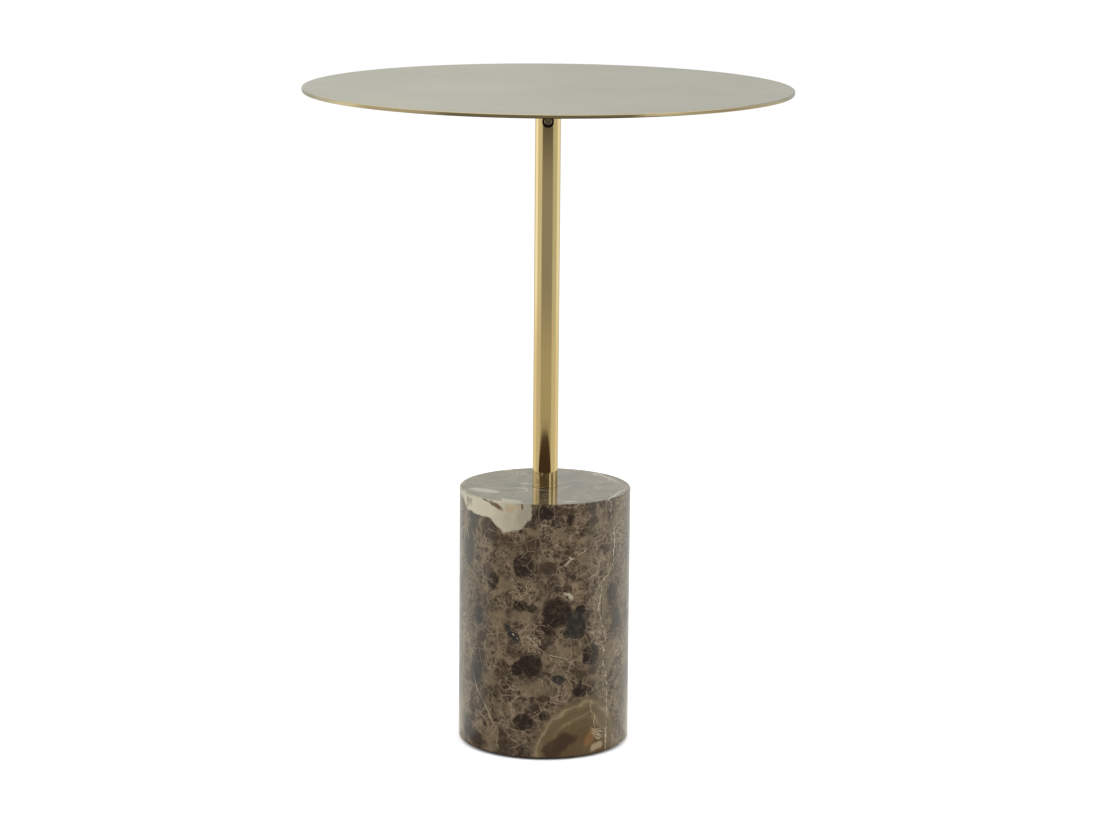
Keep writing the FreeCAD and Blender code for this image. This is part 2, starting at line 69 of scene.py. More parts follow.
# %% Camera
PICTURE_WIDTH = 1100
FOCAL_LENGTH_IN_PIXELS = 3413
AXIS_PIXEL = 545.7
SENSOR_WIDTH = 36.0
CAMERA_PLACE = (0.0, -2.630, 0.7926)
CAMERA_TILT = math.radians(90 - 11.354)
CAMERA_ROLL = math.radians(0.48)

lens = bpy.data.cameras.new("camera")
lens.sensor_width = SENSOR_WIDTH
lens.lens = SENSOR_WIDTH * FOCAL_LENGTH_IN_PIXELS / PICTURE_WIDTH
lens.shift_x = (PICTURE_WIDTH / 2 - AXIS_PIXEL) / PICTURE_WIDTH
camera = bpy.data.objects.new("camera", lens)
camera.matrix_world = (
    Matrix.Translation(CAMERA_PLACE)
    @ Matrix.Rotation(CAMERA_TILT, 4, "X")
    @ Matrix.Rotation(CAMERA_ROLL, 4, "Z")
)
scene.collection.objects.link(camera)
scene.camera = camera
print("lens", round(lens.lens, 1), "mm")

# %% [markdown]
# Turned surfaces.
#
# Most of this table is turned or drawn, so most of its surfaces are a profile carried round an axis. A
# Screw modifier could do that, but a numpy grid says it in one line: ring angles along one axis of the
# array, profile points along the other. The six-sided disc below is only there to try it out.


# %% Turned surfaces
def ring_angles(columns):
    """Even angles once round, as one row."""
    return np.linspace(0, math.tau, columns, endpoint=False)[None, :]


def turned(radius, height):
    """Points (r cos a, r sin a, z) for radius and height by row, at even angles a by column, and quads."""
    rows, columns = np.broadcast_shapes(radius.shape, height.shape)
    angle = ring_angles(columns)
    x, y, z = np.broadcast_arrays(radius * np.cos(angle), radius * np.sin(angle), height)
    row = np.arange(rows - 1)[:, None]
    column = np.arange(columns)[None, :]
    beside = (column + 1) % columns
    corners = [row * columns + column, row * columns + beside,
               (row + 1) * columns + beside, (row + 1) * columns + column]
    return np.stack([x, y, z], axis=-1).reshape(-1, 3), np.stack(corners, axis=-1).reshape(-1, 4)


def profile_rows(profile, columns):
    """A profile of (r, z) pairs as a column of radii, repeated round the ring, and a column of heights."""
    profile = np.asarray(profile, float)
    return np.repeat(profile[:, :1], columns, axis=1), profile[:, 1:]


sample = turned(*profile_rows([(1, 0), (0, 0)], columns=6))
print("a six-sided disc:", len(sample[0]), "points", len(sample[1]), "faces")

# %% [markdown]
# Meshes from arrays.
#
# Where a profile touches its axis, a whole ring of points lies in one place. Left like that it would be a
# pinhole that shades badly, so points that coincide are made one first, and the quads beside them become
# triangles. The arrays then go into the mesh whole, and shading is smooth except at sharp edges.

# %% Meshes from arrays
SHARP_EDGE = math.radians(35)
PLACE_DIGITS = 9


def weld(points, faces):
    """Points that coincide made one, so that a ring of no radius becomes a pole and its quads triangles."""
    places, index = np.unique(np.round(points, PLACE_DIGITS) + 0.0, axis=0, return_inverse=True)
    faces = index.reshape(-1)[faces]
    at_start = faces[:, 0] == faces[:, 1]
    at_end = faces[:, 2] == faces[:, 3]
    quads = faces[~(at_start | at_end)]
    triangles = np.concatenate([faces[at_start][:, [0, 2, 3]], faces[at_end][:, [0, 1, 2]]])
    return places, quads.tolist() + triangles.tolist()


def make_mesh(name, points, faces):
    """A mesh object at the origin from whole arrays, its poles closed, smooth except at sharp edges."""
    points, faces = weld(points, faces)
    mesh = bpy.data.meshes.new(name)
    mesh.from_pydata(points, [], faces)
    piece = bpy.data.objects.new(name, mesh)
    scene.collection.objects.link(piece)
    mesh.polygons.foreach_set("use_smooth", np.ones(len(mesh.polygons), bool))
    mesh.set_sharp_from_angle(angle=SHARP_EDGE)
    print(name, len(points), "points", len(faces), "faces")
    return piece


print("the disc with its pole closed:", len(weld(*sample)[0]), "points")

# %% [markdown]
# Writing finishes: the wiring.
#
# A finish is a tree of nodes. Wired by hand in the editor it is quick to try things, but hard to read
# later. This small class adds one node per call and hands back its output, so that a finish reads from
# top to bottom like a recipe. Tones that were judged are written as a screen shows them, 0 to 255.


# %% Wiring
def seen(red, green, blue):
    """A colour as a screen shows it, 0 to 255, as the linear values that a shader takes: the sRGB curve."""
    share = np.array([red, green, blue]) / 255
    linear = np.where(share <= 0.04045, share / 12.92, ((share + 0.055) / 1.055) ** 2.4)
    return (*linear.tolist(), 1.0)


class Wiring:
    """A node tree in the making: each method adds one node and gives back its output."""

    def __init__(self, tree):
        self.tree = tree
        tree.nodes.clear()

    def node(self, kind, inputs, output=0, **options):
        """Add a node; an output among its inputs is linked, a number or a colour is set."""
        made = self.tree.nodes.new("ShaderNode" + kind)
        for name, value in options.items():
            setattr(made, name, value)
        for key, value in inputs.items():
            if isinstance(value, bpy.types.NodeSocket):
                self.tree.links.new(value, made.inputs[key])
            else:
                made.inputs[key].default_value = value
        return made.outputs[output]

    def math(self, operation, first, second=0.0):
        return self.node("Math", {0: first, 1: second}, operation=operation)

    def vector(self, operation, first, second):
        return self.node("VectorMath", {0: first, 1: second}, operation=operation)

    def length(self, points):
        return self.node("VectorMath", {0: points}, "Value", operation="LENGTH")

    def axis(self, points, name):
        return self.node("SeparateXYZ", {0: points}, name)

    def end(self, shader, kind="OutputMaterial"):
        """Wire a shader to the tree's output."""
        output = self.tree.nodes.new("ShaderNode" + kind)
        self.tree.links.new(shader, output.inputs["Surface"])


print("a screen's mid grey is", round(seen(128, 128, 128)[0], 3), "in linear light")

# %% [markdown]
# Writing finishes: patterns and blends.
#
# Real surfaces vary by noise, by cells and along lines, so a finish needs words for these: soft noise, a
# paving of cells, points pushed about, a smooth step, a mix of two colours. All sizes are in millimetres
# on Object coordinates, so that a pattern keeps its scale and stays on the piece when the piece moves.


# %% Patterns and blends
class Finish(Wiring):
    """A material in the making."""

    def __init__(self, name):
        self.material = bpy.data.materials.new(name)
        self.material.use_nodes = True
        super().__init__(self.material.node_tree)

    def points(self):
        """The place on the object, in millimetres."""
        place = self.node("TexCoord", {}, "Object")
        return self.node("VectorMath", {0: place, "Scale": 1 / MM}, operation="SCALE")

    def from_axis(self, points):
        """The distance from the upright axis."""
        return self.length(self.vector("MULTIPLY", points, (1.0, 1.0, 0.0)))

    def stretch(self, points, sizes):
        """The points divided by a size along each axis: a pattern is drawn out along the long one."""
        return self.vector("DIVIDE", points, sizes)

    def noise(self, points, size=1.0, detail=2.0, roughness=0.5, output="Fac"):
        """Soft noise whose features are about one size across."""
        inputs = {"Vector": points, "Scale": 1 / size, "Detail": detail, "Roughness": roughness}
        return self.node("TexNoise", inputs, output)

    def cells(self, points, size, output="Distance", feature="F1"):
        """A crazy paving of cells about one size across."""
        inputs = {"Vector": points, "Scale": 1 / size, "Randomness": 1.0}
        return self.node("TexVoronoi", inputs, output, feature=feature)

    def warp(self, points, *bends):
        """The points pushed about by noise, once for each bend, by up to its reach and at its size."""
        for size, reach in bends:
            drift = self.vector("SUBTRACT", self.noise(points, size, output="Color"), (0.5, 0.5, 0.5))
            inputs = {0: drift, 1: (2 * reach,) * 3, 2: points}
            points = self.node("VectorMath", inputs, operation="MULTIPLY_ADD")
        return points

    def step(self, value, low, high, bottom=0.0, top=1.0):
        """A smooth rise from bottom to top while the value goes from low to high."""
        inputs = {"Value": value, "From Min": low, "From Max": high, "To Min": bottom, "To Max": top}
        return self.node("MapRange", inputs, interpolation_type="SMOOTHSTEP")

    def mix(self, share, first, second):
        """The first colour where the share is 0, the second where it is 1."""
        return self.node("Mix", {0: share, 6: first, 7: second}, 2, data_type="RGBA")

    def ramp(self, value, stops):
        """A colour read off a strip of (place, colour) stops."""
        made = self.tree.nodes.new("ShaderNodeValToRGB")
        strip = made.color_ramp
        for _ in range(len(stops) - 2):
            strip.elements.new(0.5)
        for element, (place, colour) in zip(strip.elements, stops):
            element.position = place
            element.color = colour
        self.tree.links.new(value, made.inputs[0])
        return made.outputs[0]

    def bump(self, height, depth, **over):
        """A surface normal tilted as if the height, from 0 to 1, stood up by the depth in metres."""
        return self.node("Bump", {"Height": height, "Distance": depth, "Strength": 1.0, **over})

    def surface(self, inputs):
        """End the tree in a Principled shader with these inputs."""
        return self.finished(self.node("BsdfPrincipled", inputs))

    def finished(self, shader):
        """Wire a shader to the output and give back the material."""
        self.end(shader)
        print(self.material.name, "finish of", len(self.tree.nodes), "nodes")
        return self.material


print("words for a finish:", *[name for name in vars(Finish) if not name.startswith("_")])

# %% [markdown]
# The room: a white surround.
#
# The table stands before a white sweep that has no corner. It could be modelled as a bent sheet, but a
# white world has no seam to hide. Camera and mirror rays see it at full white, while the light that it
# sheds on the object stays plain, so that brass and stone keep their own tones.

# %% World
AMBIENT_LIGHT = 0.62
FULL_WHITE = 1.0


def seen_directly(tree):
    """1 for rays that show a surface to the eye: from the camera, off a mirror or through glass."""
    camera_ray, *others = [tree.node("LightPath", {}, f"Is {kind} Ray")
                           for kind in ("Camera", "Glossy", "Transmission")]
    total = camera_ray
    for ray in others:
        total = tree.math("MAXIMUM", total, ray)
    return total


world = bpy.data.worlds.new("white_surround")
world.use_nodes = True
scene.world = world
air = Wiring(world.node_tree)
shown = {"Value": seen_directly(air), "To Min": AMBIENT_LIGHT, "To Max": FULL_WHITE}
sky = air.node("Background", {"Color": (1, 1, 1, 1), "Strength": air.node("MapRange", shown)})
air.end(sky, "OutputWorld")
print("the world lights with", AMBIENT_LIGHT, "and shows as", FULL_WHITE)

# %% [markdown]
# The room: the floor.
#
# The floor is white card. Lit only by what falls on it, it would come out grey, so it adds a little light
# of its own for rays that show it, and so reads as white, while its diffuse part still darkens where the
# marble stands. In a ring round the stone's foot, out to just past its rim, that glow is taken away, which
# is painted shade. It is open under the felt pad and clear from below, so that the pad can be looked at
# from there.

# %% Floor
STAGE_AROUND = 96
UNDER_PAD = 60 * MM
NEAR_RING = 0.3
FLOOR_RINGS = (9.0, 1.0, NEAR_RING, UNDER_PAD)
FLOOR_DROP = 0.2 * MM
FLOOR_WHITE = (0.82, 0.82, 0.82, 1)
FLOOR_GLOW = 0.5
# No glow inside the first distance from the axis, full glow from the second, in mm: painted shade at the
# stone's foot.
PAINTED_BASE_SHADE = (62.0, 68.5)


def floor_finish():
    """White card: plain diffuse, a little glow for rays that show it, and nothing when seen from below."""
    card = Finish("floor_card")
    diffuse = card.node("BsdfDiffuse", {"Color": FLOOR_WHITE})
    # The glow is taken away round the stone's foot, so the floor there comes out darker: painted shade.
    glow_outside_painted_shade = card.step(card.length(card.points()), *PAINTED_BASE_SHADE, 0.0, FLOOR_GLOW)
    glow = card.node("Emission", {"Strength": card.math("MULTIPLY", seen_directly(card), glow_outside_painted_shade)})
    lit = card.node("AddShader", {0: diffuse, 1: glow})
    behind = card.node("NewGeometry", {}, "Backfacing")
    return card.finished(card.node("MixShader", {0: behind, 1: lit, 2: card.node("BsdfTransparent", {})}))


floor_profile = [(radius, -FLOOR_DROP) for radius in FLOOR_RINGS]
floor = make_mesh("floor", *turned(*profile_rows(floor_profile, STAGE_AROUND)))
floor.data.materials.append(floor_finish())

# %% [markdown]
# Soft light.
#
# One lamp would light the stone, but with a hard shadow, so there are three large soft boxes, above and at
# both sides. Mirror rays don't see them: what polished metal shows is a picture of the room, which the next
# steps build.

# %% Soft boxes
SOFT_BOXES = (
    ("over_box", (0.0, -0.2, 2.4), 2.0, 22.0),
    ("left_box", (-1.9, -1.3, 1.2), 1.4, 17.0),
    ("right_box", (1.9, -1.3, 1.2), 1.4, 17.0),
)
TABLE_MIDDLE = Vector((0.0, 0.0, 0.25))

for name, place, width, power in SOFT_BOXES:
    box = bpy.data.lights.new(name, "AREA")
    box.shape = "DISK"
    box.size = width
    box.energy = power
    lamp = bpy.data.objects.new(name, box)
    lamp.location = place
    lamp.rotation_euler = (TABLE_MIDDLE - Vector(place)).to_track_quat("-Z", "Y").to_euler()
    lamp.visible_glossy = False
    scene.collection.objects.link(lamp)
    print(name, power, "W")

# %% [markdown]
# What the polish sees: tones round the room.
#
# Polished metal shows hardly anything but a tinted picture of the room. Real cards and lamps could stand
# round the table, but one round wall with a floor is easier to change: it has a tone for each bearing, in
# degrees to the right of the camera. It is dark in front, grey beside that, with white panels at the two
# sides and pale behind. On a tube the mirrored bearing turns twice as fast as the surface does, so each
# upright band along the stem is one of these. Rows give start, end, the floor's tone and the wall's.

# %% Tones round the room
FRONT_LOW, FRONT_HIGH = (0.41, 0.385, 0.30), (0.29, 0.285, 0.27)
LEFT_LOW, LEFT_HIGH = (0.60, 0.56, 0.50), (0.67, 0.65, 0.58)
RIGHT_LOW, RIGHT_HIGH = (0.62, 0.59, 0.51), (0.54, 0.55, 0.48)
PANEL_LOW, PANEL_LEFT, PANEL_RIGHT = (0.80, 0.77, 0.67), (1.05, 1.05, 1.06), (0.92, 0.94, 0.91)
CORNER = (0.62, 0.62, 0.58)
BACK_LEFT, BACK_RIGHT = (0.705, 0.70, 0.595), (0.735, 0.722, 0.64)
ROOM_SECTORS = (
    (-180, -162, BACK_LEFT, BACK_LEFT),
    (-152, -138, CORNER, CORNER),
    (-130, -101, PANEL_LOW, PANEL_LEFT),
    (-92, -54, LEFT_LOW, LEFT_HIGH),
    (-46, 46, FRONT_LOW, FRONT_HIGH),
    (54, 92, RIGHT_LOW, RIGHT_HIGH),
    (101, 130, PANEL_LOW, PANEL_RIGHT),
    (138, 152, CORNER, CORNER),
    (162, 180, BACK_RIGHT, BACK_RIGHT),
)


def by_bearing(room, share, sectors):
    """Tones read off round the room, each even from its start to its end and blending into the next."""
    stops = []
    for start, end, tone in sectors:
        stops += [(degrees / 360 + 0.5, (*tone, 1)) for degrees in dict.fromkeys((start, end))]
    return room.ramp(share, stops)


print(len(ROOM_SECTORS), "sectors round the room")

# %% [markdown]
# What the polish sees: bands up the wall.
#
# From the camera each surface mirrors another height of the wall. The stem looks below 340 mm, the cut rim
# of the top just above that, the stone's top face about 450 to 580 mm, and the top's own face higher still.
# So the wall is hung in bands, each with its own sectors, and one can be changed while the others stay.

# %% Bands up the wall
RIM_FRONT, RIM_SHADE, RIM_SIDE = (0.24, 0.245, 0.19), (0.37, 0.34, 0.32), (0.52, 0.50, 0.45)
RIM_GREY, RIM_PANEL = (0.60, 0.60, 0.56), (0.92, 0.89, 0.80)
RIM_STARTS = (343.0, 352.0)
RIM_SECTORS = (
    (-180, -150, BACK_LEFT), (-136, -116, RIM_GREY), (-107, -97, RIM_PANEL), (-86, -66, RIM_SIDE),
    (-52, -52, RIM_SHADE), (-43, 37, RIM_FRONT), (43, 52, RIM_PANEL), (65, 65, RIM_SIDE),
    (82, 102, RIM_SHADE), (128, 128, RIM_GREY), (150, 180, BACK_RIGHT),
)
FOOT_DARK, FOOT_DIM = (0.05, 0.045, 0.04), (0.36, 0.33, 0.29)
FOOT_SIDE, FOOT_LIGHT = (0.75, 0.70, 0.62), (1.15, 1.12, 1.0)
FOOT_STARTS = (452.0, 468.0)
FOOT_SECTORS = (
    (-180, -152, BACK_LEFT), (-138, -138, RIM_GREY), (-128, -100, FOOT_LIGHT), (-90, -58, FOOT_SIDE),
    (-50, 34, FOOT_DARK), (40, 50, FOOT_LIGHT), (57, 76, FOOT_DIM), (84, 104, FOOT_LIGHT),
    (110, 124, FOOT_DIM), (138, 138, RIM_GREY), (152, 180, BACK_RIGHT),
)
UPPER_LEFT, UPPER_FRONT, UPPER_RIGHT = (0.755, 0.78, 0.765), (0.69, 0.70, 0.66), (0.665, 0.685, 0.685)
UPPER_STARTS = (585.0, 635.0)
UPPER_SECTORS = ((-180, -100, UPPER_LEFT), (-92, 92, UPPER_FRONT), (100, 180, UPPER_RIGHT))
WALL_BANDS = ((RIM_STARTS, RIM_SECTORS), (FOOT_STARTS, FOOT_SECTORS), (UPPER_STARTS, UPPER_SECTORS))
print(len(WALL_BANDS), "bands, from", [starts[0] for starts, _ in WALL_BANDS], "mm up")

# %% [markdown]
# What the polish sees: the wall and its floor.
#
# The dark core of the stem ends in a point at its foot. It is the mirrored floor in front of the table,
# where a dark patch narrows to both sides, and the unlit wall above it. With these in, the room is one mesh
# that glows by bearing and height. Only mirror rays see it, so it neither lights nor shades anything.

# %% Studio
WALL_RADIUS, WALL_HEIGHT = 1.6, 1.5
WALL_STARTS = (0.0, 120.0)
UNLIT_SIDES = (math.radians(42), math.radians(50))
UNLIT_ABOVE = (222.0, 355.0)
PATCH_REACH = 1236.0
PATCH_BEARING, PATCH_SPREAD = math.radians(-6), math.radians(96)
PATCH_ROUNDING = 3.4
PATCH_EDGE = (0.985, 1.0)
PATCH_FADE = (math.radians(55), math.radians(78))
DARK_TONE = (0.055, 0.036, 0.026, 1)


def dark_places(room, place, bearing):
    """1 on a floor patch whose reach shrinks by a power of the bearing, and on the unlit wall in front."""
    aside = room.math("ABSOLUTE", room.math("SUBTRACT", bearing, PATCH_BEARING))
    rounding = room.math("POWER", room.math("DIVIDE", aside, PATCH_SPREAD), PATCH_ROUNDING)
    reach = room.math("ADD", room.math("DIVIDE", room.from_axis(place), PATCH_REACH), rounding)
    fading = room.step(aside, *PATCH_FADE, 1.0, 0.0)
    patch = room.math("MULTIPLY", fading, room.step(reach, *PATCH_EDGE, 1.0, 0.0))
    in_front = room.step(room.math("ABSOLUTE", bearing), *UNLIT_SIDES, 1.0, 0.0)
    unlit = room.math("MULTIPLY", in_front, room.step(room.axis(place, "Z"), *UNLIT_ABOVE))
    return room.math("MAXIMUM", patch, unlit)


def studio_finish():
    """A glow by bearing and height: floor tones below, wall tones above, dark places, then the bands."""
    room = Finish("studio_glow")
    place = room.points()
    x, y, z = (room.axis(place, name) for name in "XYZ")
    bearing = room.math("ARCTAN2", x, room.math("MULTIPLY", y, -1.0))
    share = room.math("ADD", room.math("DIVIDE", bearing, math.tau), 0.5)
    low = by_bearing(room, share, [(start, end, tone) for start, end, tone, _ in ROOM_SECTORS])
    high = by_bearing(room, share, [(start, end, tone) for start, end, _, tone in ROOM_SECTORS])
    tone = room.mix(room.step(z, *WALL_STARTS), low, high)
    tone = room.mix(dark_places(room, place, bearing), tone, DARK_TONE)
    for starts, sectors in WALL_BANDS:
        tone = room.mix(room.step(z, *starts), tone, by_bearing(room, share, sectors))
    return room.finished(room.node("Emission", {"Color": tone}))


wall_profile = [(UNDER_PAD, 0.0), (NEAR_RING, 0.0), (WALL_RADIUS, 0.0), (WALL_RADIUS, WALL_HEIGHT)]
studio = make_mesh("studio", *turned(*profile_rows(wall_profile, STAGE_AROUND)))
studio.data.materials.append(studio_finish())
for kind in ("camera", "diffuse", "transmission", "volume_scatter", "shadow"):
    setattr(studio, "visible_" + kind, False)

# %% [markdown]
# Satin brass: the top.
#
# The top is brass sheet, brushed one way with a fine abrasive and lacquered. Each brush mark is far too
# thin to see, but together they smear reflections along one line. An anisotropic shader could do that, but
# streaky noise drawn out along X, in roughness and in a very shallow bump, also shows the marks close up.
# Square on the brass is golden, and at a glancing angle paler. The cut edge is finer and brighter.

# %% Satin brass
TOP_LOW, TOP_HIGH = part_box("table_top")
TOP_RADIUS = (TOP_HIGH.x - TOP_LOW.x) / 2 / MM
BRUSH_MARK, BRUSH_STREAK = (60.0, 0.35, 0.35), (150.0, 1.5, 1.5)
MARK_DEPTH = 0.004 * MM
FACE_DARK, FACE_PALE = (0.675, 0.606, 0.452, 1), (0.745, 0.674, 0.508, 1)
FACE_GLANCING = (0.712, 0.766, 0.842, 1)
FACE_ROUGHNESS = (0.28, 0.44)
EDGE_START, EDGE_FULL = 0.7, 0.3
EDGE_TONE, EDGE_ROUGHNESS = (0.66, 0.55, 0.34, 1), 0.12


def satin_brass():
    """Brushed brass: long streaks in roughness and bump, faint clouds of tone, a bright turned edge."""
    sheet = Finish("satin_brass")
    place = sheet.points()
    marks = sheet.noise(sheet.stretch(place, BRUSH_MARK), detail=3.0)
    streaks = sheet.noise(sheet.stretch(place, BRUSH_STREAK), detail=3.0)
    clouds = sheet.noise(place, size=70.0, detail=3.0)
    uneven = sheet.step(sheet.math("ADD", streaks, clouds), 0.65, 1.35)
    edge = sheet.step(sheet.from_axis(place), TOP_RADIUS - EDGE_START, TOP_RADIUS - EDGE_FULL)
    brushed = sheet.step(sheet.math("ADD", marks, streaks), 0.5, 1.5, *FACE_ROUGHNESS)
    return sheet.surface({
        "Base Color": sheet.mix(edge, sheet.mix(uneven, FACE_DARK, FACE_PALE), EDGE_TONE),
        "Metallic": 1.0,
        "Roughness": sheet.node("Mix", {0: edge, 2: brushed, 3: EDGE_ROUGHNESS}),
        "Specular Tint": FACE_GLANCING,
        "Normal": sheet.bump(marks, MARK_DEPTH),
    })


FINISHES = {"satin_brass": satin_brass()}

# %% [markdown]
# Polished brass: the stem.
#
# The stem is a drawn tube, buffed to a mirror. A perfect mirror looks like a drawing, so the buffing leaves
# two faint things: slow waves that bend the picture of the room, and a haze of hairlines along the tube.
# They could be modelled, but at two hundredths of a millimetre and less they are better left to bump.

# %% Polished brass
BUFFED_BRASS = (0.86, 0.68, 0.355, 1)
BUFF_WAVE, BUFF_HAIRLINE = (9.0, 9.0, 40.0), (0.25, 0.25, 25.0)
WAVE_DEPTH, HAIRLINE_DEPTH = 0.02 * MM, 0.0006 * MM
BUFFED_ROUGHNESS = (0.035, 0.075)


def polished_brass():
    """Mirror brass: slow waves in the surface, hairlines along the tube, slightly uneven gloss."""
    tube = Finish("polished_brass")
    place = tube.points()
    waves = tube.noise(tube.stretch(place, BUFF_WAVE), detail=1.0)
    lines = tube.bump(tube.noise(tube.stretch(place, BUFF_HAIRLINE)), HAIRLINE_DEPTH)
    return tube.surface({
        "Base Color": BUFFED_BRASS,
        "Metallic": 1.0,
        "Roughness": tube.step(tube.noise(place, size=30.0, detail=3.0), 0.35, 0.7, *BUFFED_ROUGHNESS),
        "Normal": tube.bump(waves, WAVE_DEPTH, Normal=lines),
    })


FINISHES["polished_brass"] = polished_brass()

# %% [markdown]
# Marble, first layer: crushed ground.
#
# This stone was broken in place and healed. Brown ground drifts between dark and pale, and where it was
# crushed it is full of small dark crumbs. A picture of stone could be wrapped round the cylinder, but it
# would not go through to the top face. Voronoi cells do: some of them, chosen by chance, are the crumbs.

# %% Crushed ground
MARBLE_LOW, MARBLE_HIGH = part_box("marble_base")
MARBLE_RADIUS = (MARBLE_HIGH.x - MARBLE_LOW.x) / 2 / MM
MARBLE_FOOT, MARBLE_TOP = MARBLE_LOW.z / MM, MARBLE_HIGH.z / MM
GROUND_DARK, GROUND_PALE = seen(68, 57, 45), seen(119, 104, 83)
CRUMB_BROWN = seen(48, 39, 32)
GROUND_DRIFT = (0.38, 0.62)
CRUMB_SIZES = ((9.0, 0.66), (5.0, 0.62), (2.8, 0.55))
CRUMB_EDGE = (0.05, 0.2)
CRUMB_BLUR, CRUMB_SHARE = 0.25, 0.85


def crushed_ground(stone, bent, rough):
    """Brown that drifts from dark to pale, and dark crumbs in cells whose random draw is over a level."""
    drift = stone.step(stone.noise(bent, size=15.0, detail=6.0, roughness=0.65), *GROUND_DRIFT)
    colour = stone.mix(drift, GROUND_DARK, GROUND_PALE)
    for size, level in CRUMB_SIZES:
        draw = stone.axis(stone.cells(rough, size, "Color"), "X")
        inside = stone.step(stone.cells(rough, size, feature="DISTANCE_TO_EDGE"), *CRUMB_EDGE)
        chosen = stone.step(draw, level, level + CRUMB_BLUR, 0.0, CRUMB_SHARE)
        colour = stone.mix(stone.math("MULTIPLY", inside, chosen), colour, CRUMB_BROWN)
    return colour


print("crumbs of", [size for size, _ in CRUMB_SIZES], "mm in a block of", round(2 * MARBLE_RADIUS), "mm")

# %% [markdown]
# Marble, first layer: threads.
#
# Pale threads healed the cracks. The short ones run along the edges of cells. The long ones wander, so they
# are drawn as contours are on a map, where noise passes through its middle value. Both fade in and out, and
# a slow noise says where the net of them is dense.

# %% Threads
THREAD_TAN = seen(160, 140, 116)
NET_SIZES = ((7.0, 0.06, 0.6), (3.6, 0.10, 0.6))
HAIRLINES = ((17.0, 0.012, 0.6), (9.0, 0.016, 0.6), (5.0, 0.025, 0.45))
THREAD_WEAR, HAIRLINE_WEAR = (0.42, 0.62), (0.42, 0.58)
NOISE_MIDDLE = 0.5
NET_DENSE = (0.44, 0.58)
NET_SHADE, NET_LEAST = 0.35, 0.3


def threads(stone, rough, size, width, strength):
    """Pale lines along the edges of cells of one size, fading in and out by noise of about that size."""
    edge = stone.cells(rough, size, feature="DISTANCE_TO_EDGE")
    worn = stone.step(stone.noise(rough, 2.0 * size, detail=3.0), *THREAD_WEAR, 0.0, strength)
    return stone.math("MULTIPLY", stone.step(edge, 0.0, width, 1.0, 0.0), worn)


def hairlines(stone, points, size, width, strength, detail=4.0):
    """Long thin lines where noise passes through its middle value, as contours run on a map."""
    height = stone.noise(points, size, detail, roughness=0.55)
    off_middle = stone.math("ABSOLUTE", stone.math("SUBTRACT", height, NOISE_MIDDLE))
    worn = stone.step(stone.noise(points, 1.3 * size), *HAIRLINE_WEAR, 0.0, strength)
    return stone.math("MULTIPLY", stone.step(off_middle, 0.0, width, 1.0, 0.0), worn)


def thread_net(stone, colour, bent, rough):
    """A net of threads and hairlines over darkened crumbs, dense only where slow noise says so."""
    dense = stone.step(stone.noise(bent, size=21.0, detail=3.0, roughness=0.55), *NET_DENSE)
    colour = stone.mix(stone.math("MULTIPLY", dense, NET_SHADE), colour, CRUMB_BROWN)
    lines = [threads(stone, rough, *row) for row in NET_SIZES]
    lines += [hairlines(stone, bent, *row) for row in HAIRLINES]
    for share in lines:
        here = stone.math("MULTIPLY", share, stone.step(dense, 0.0, 1.0, NET_LEAST, 1.0))
        colour = stone.mix(here, colour, THREAD_TAN)
    return colour


print(len(NET_SIZES), "nets of threads and", len(HAIRLINES), "of hairlines")

# %% [markdown]
# Marble, second layer: how a lump is set in.
#
# A random stone would never put its dark lumps where the real block has them. So the large features are
# listed one by one. Each is an ellipsoid in the stone, given by where it meets the face: how far across the
# front, or at what bearing, and how far above the foot in millimetres, then its two half sizes there, and
# how many degrees its right end dips. An ellipsoid is only a stretched distance, so it costs a few nodes.


# %% Shapes in the stone
def ellipsoid(stone, points, centre, sizes, turn=(0.0, 0.0, 0.0)):
    """The distance from a centre in the ellipsoid's own half sizes: under 1 is inside it."""
    inputs = {"Vector": stone.vector("SUBTRACT", points, centre), "Rotation": turn}
    turned_back = stone.node("VectorRotate", inputs, rotation_type="EULER_XYZ", invert=True)
    return stone.length(stone.vector("DIVIDE", turned_back, sizes))


def joined(stone, shapes, operation="MINIMUM"):
    """The nearest of some shapes given by their distances; the farthest, where all of them must hold."""
    first, *others = shapes
    for other in others:
        first = stone.math(operation, first, other)
    return first


def filled(stone, distance, edge, share):
    """The share inside a shape given by its distance, fading to nothing across its edge."""
    return stone.step(distance, *edge, share, 0.0)


LEAST_DEPTH = 3.0
STREAK_DEPTH = 4.0


def set_in(stone, points, bearing, up, half_across, half_up, dip):
    """The distance to one ellipsoid whose middle is on the cylinder's face, at a bearing from the front."""
    centre = (MARBLE_RADIUS * math.sin(bearing), -MARBLE_RADIUS * math.cos(bearing), MARBLE_FOOT + up)
    sizes = (half_across, max(LEAST_DEPTH, min(half_across, half_up)), half_up)
    return ellipsoid(stone, points, centre, sizes, (0.0, math.radians(dip), bearing))


def on_front(stone, points, lumps):
    """The distance to the nearest of some ellipsoids, each placed by how far across the front it is."""
    return joined(stone, [
        set_in(stone, points, math.asin(across / MARBLE_RADIUS), *rest) for across, *rest in lumps
    ])


def on_side(stone, points, lumps):
    """The distance to the nearest of some ellipsoids, each placed by its bearing in degrees."""
    return joined(stone, [set_in(stone, points, math.radians(bearing), *rest) for bearing, *rest in lumps])


def on_top(stone, points, streaks):
    """The distance to the nearest of some flat ellipsoids that are set into the top face."""
    return joined(stone, [
        ellipsoid(stone, points, (x, y, MARBLE_TOP), (half_long, half_wide, STREAK_DEPTH),
                  (0.0, 0.0, math.radians(turn)))
        for x, y, half_long, half_wide, turn in streaks
    ])


print("lumps meet the face", round(MARBLE_RADIUS, 1), "mm from the axis")

# %% [markdown]
# Marble, second layer: the lumps that make this block this block.
#
# Four tones do: pale patches, brown lumps, near-black ones, and slate-grey ones. They could be painted on
# the face, but set into the stone they come out at its top edge too. The points are made ragged by noise
# before they are measured, so no lump is a true ellipse, and each is cloudy within.

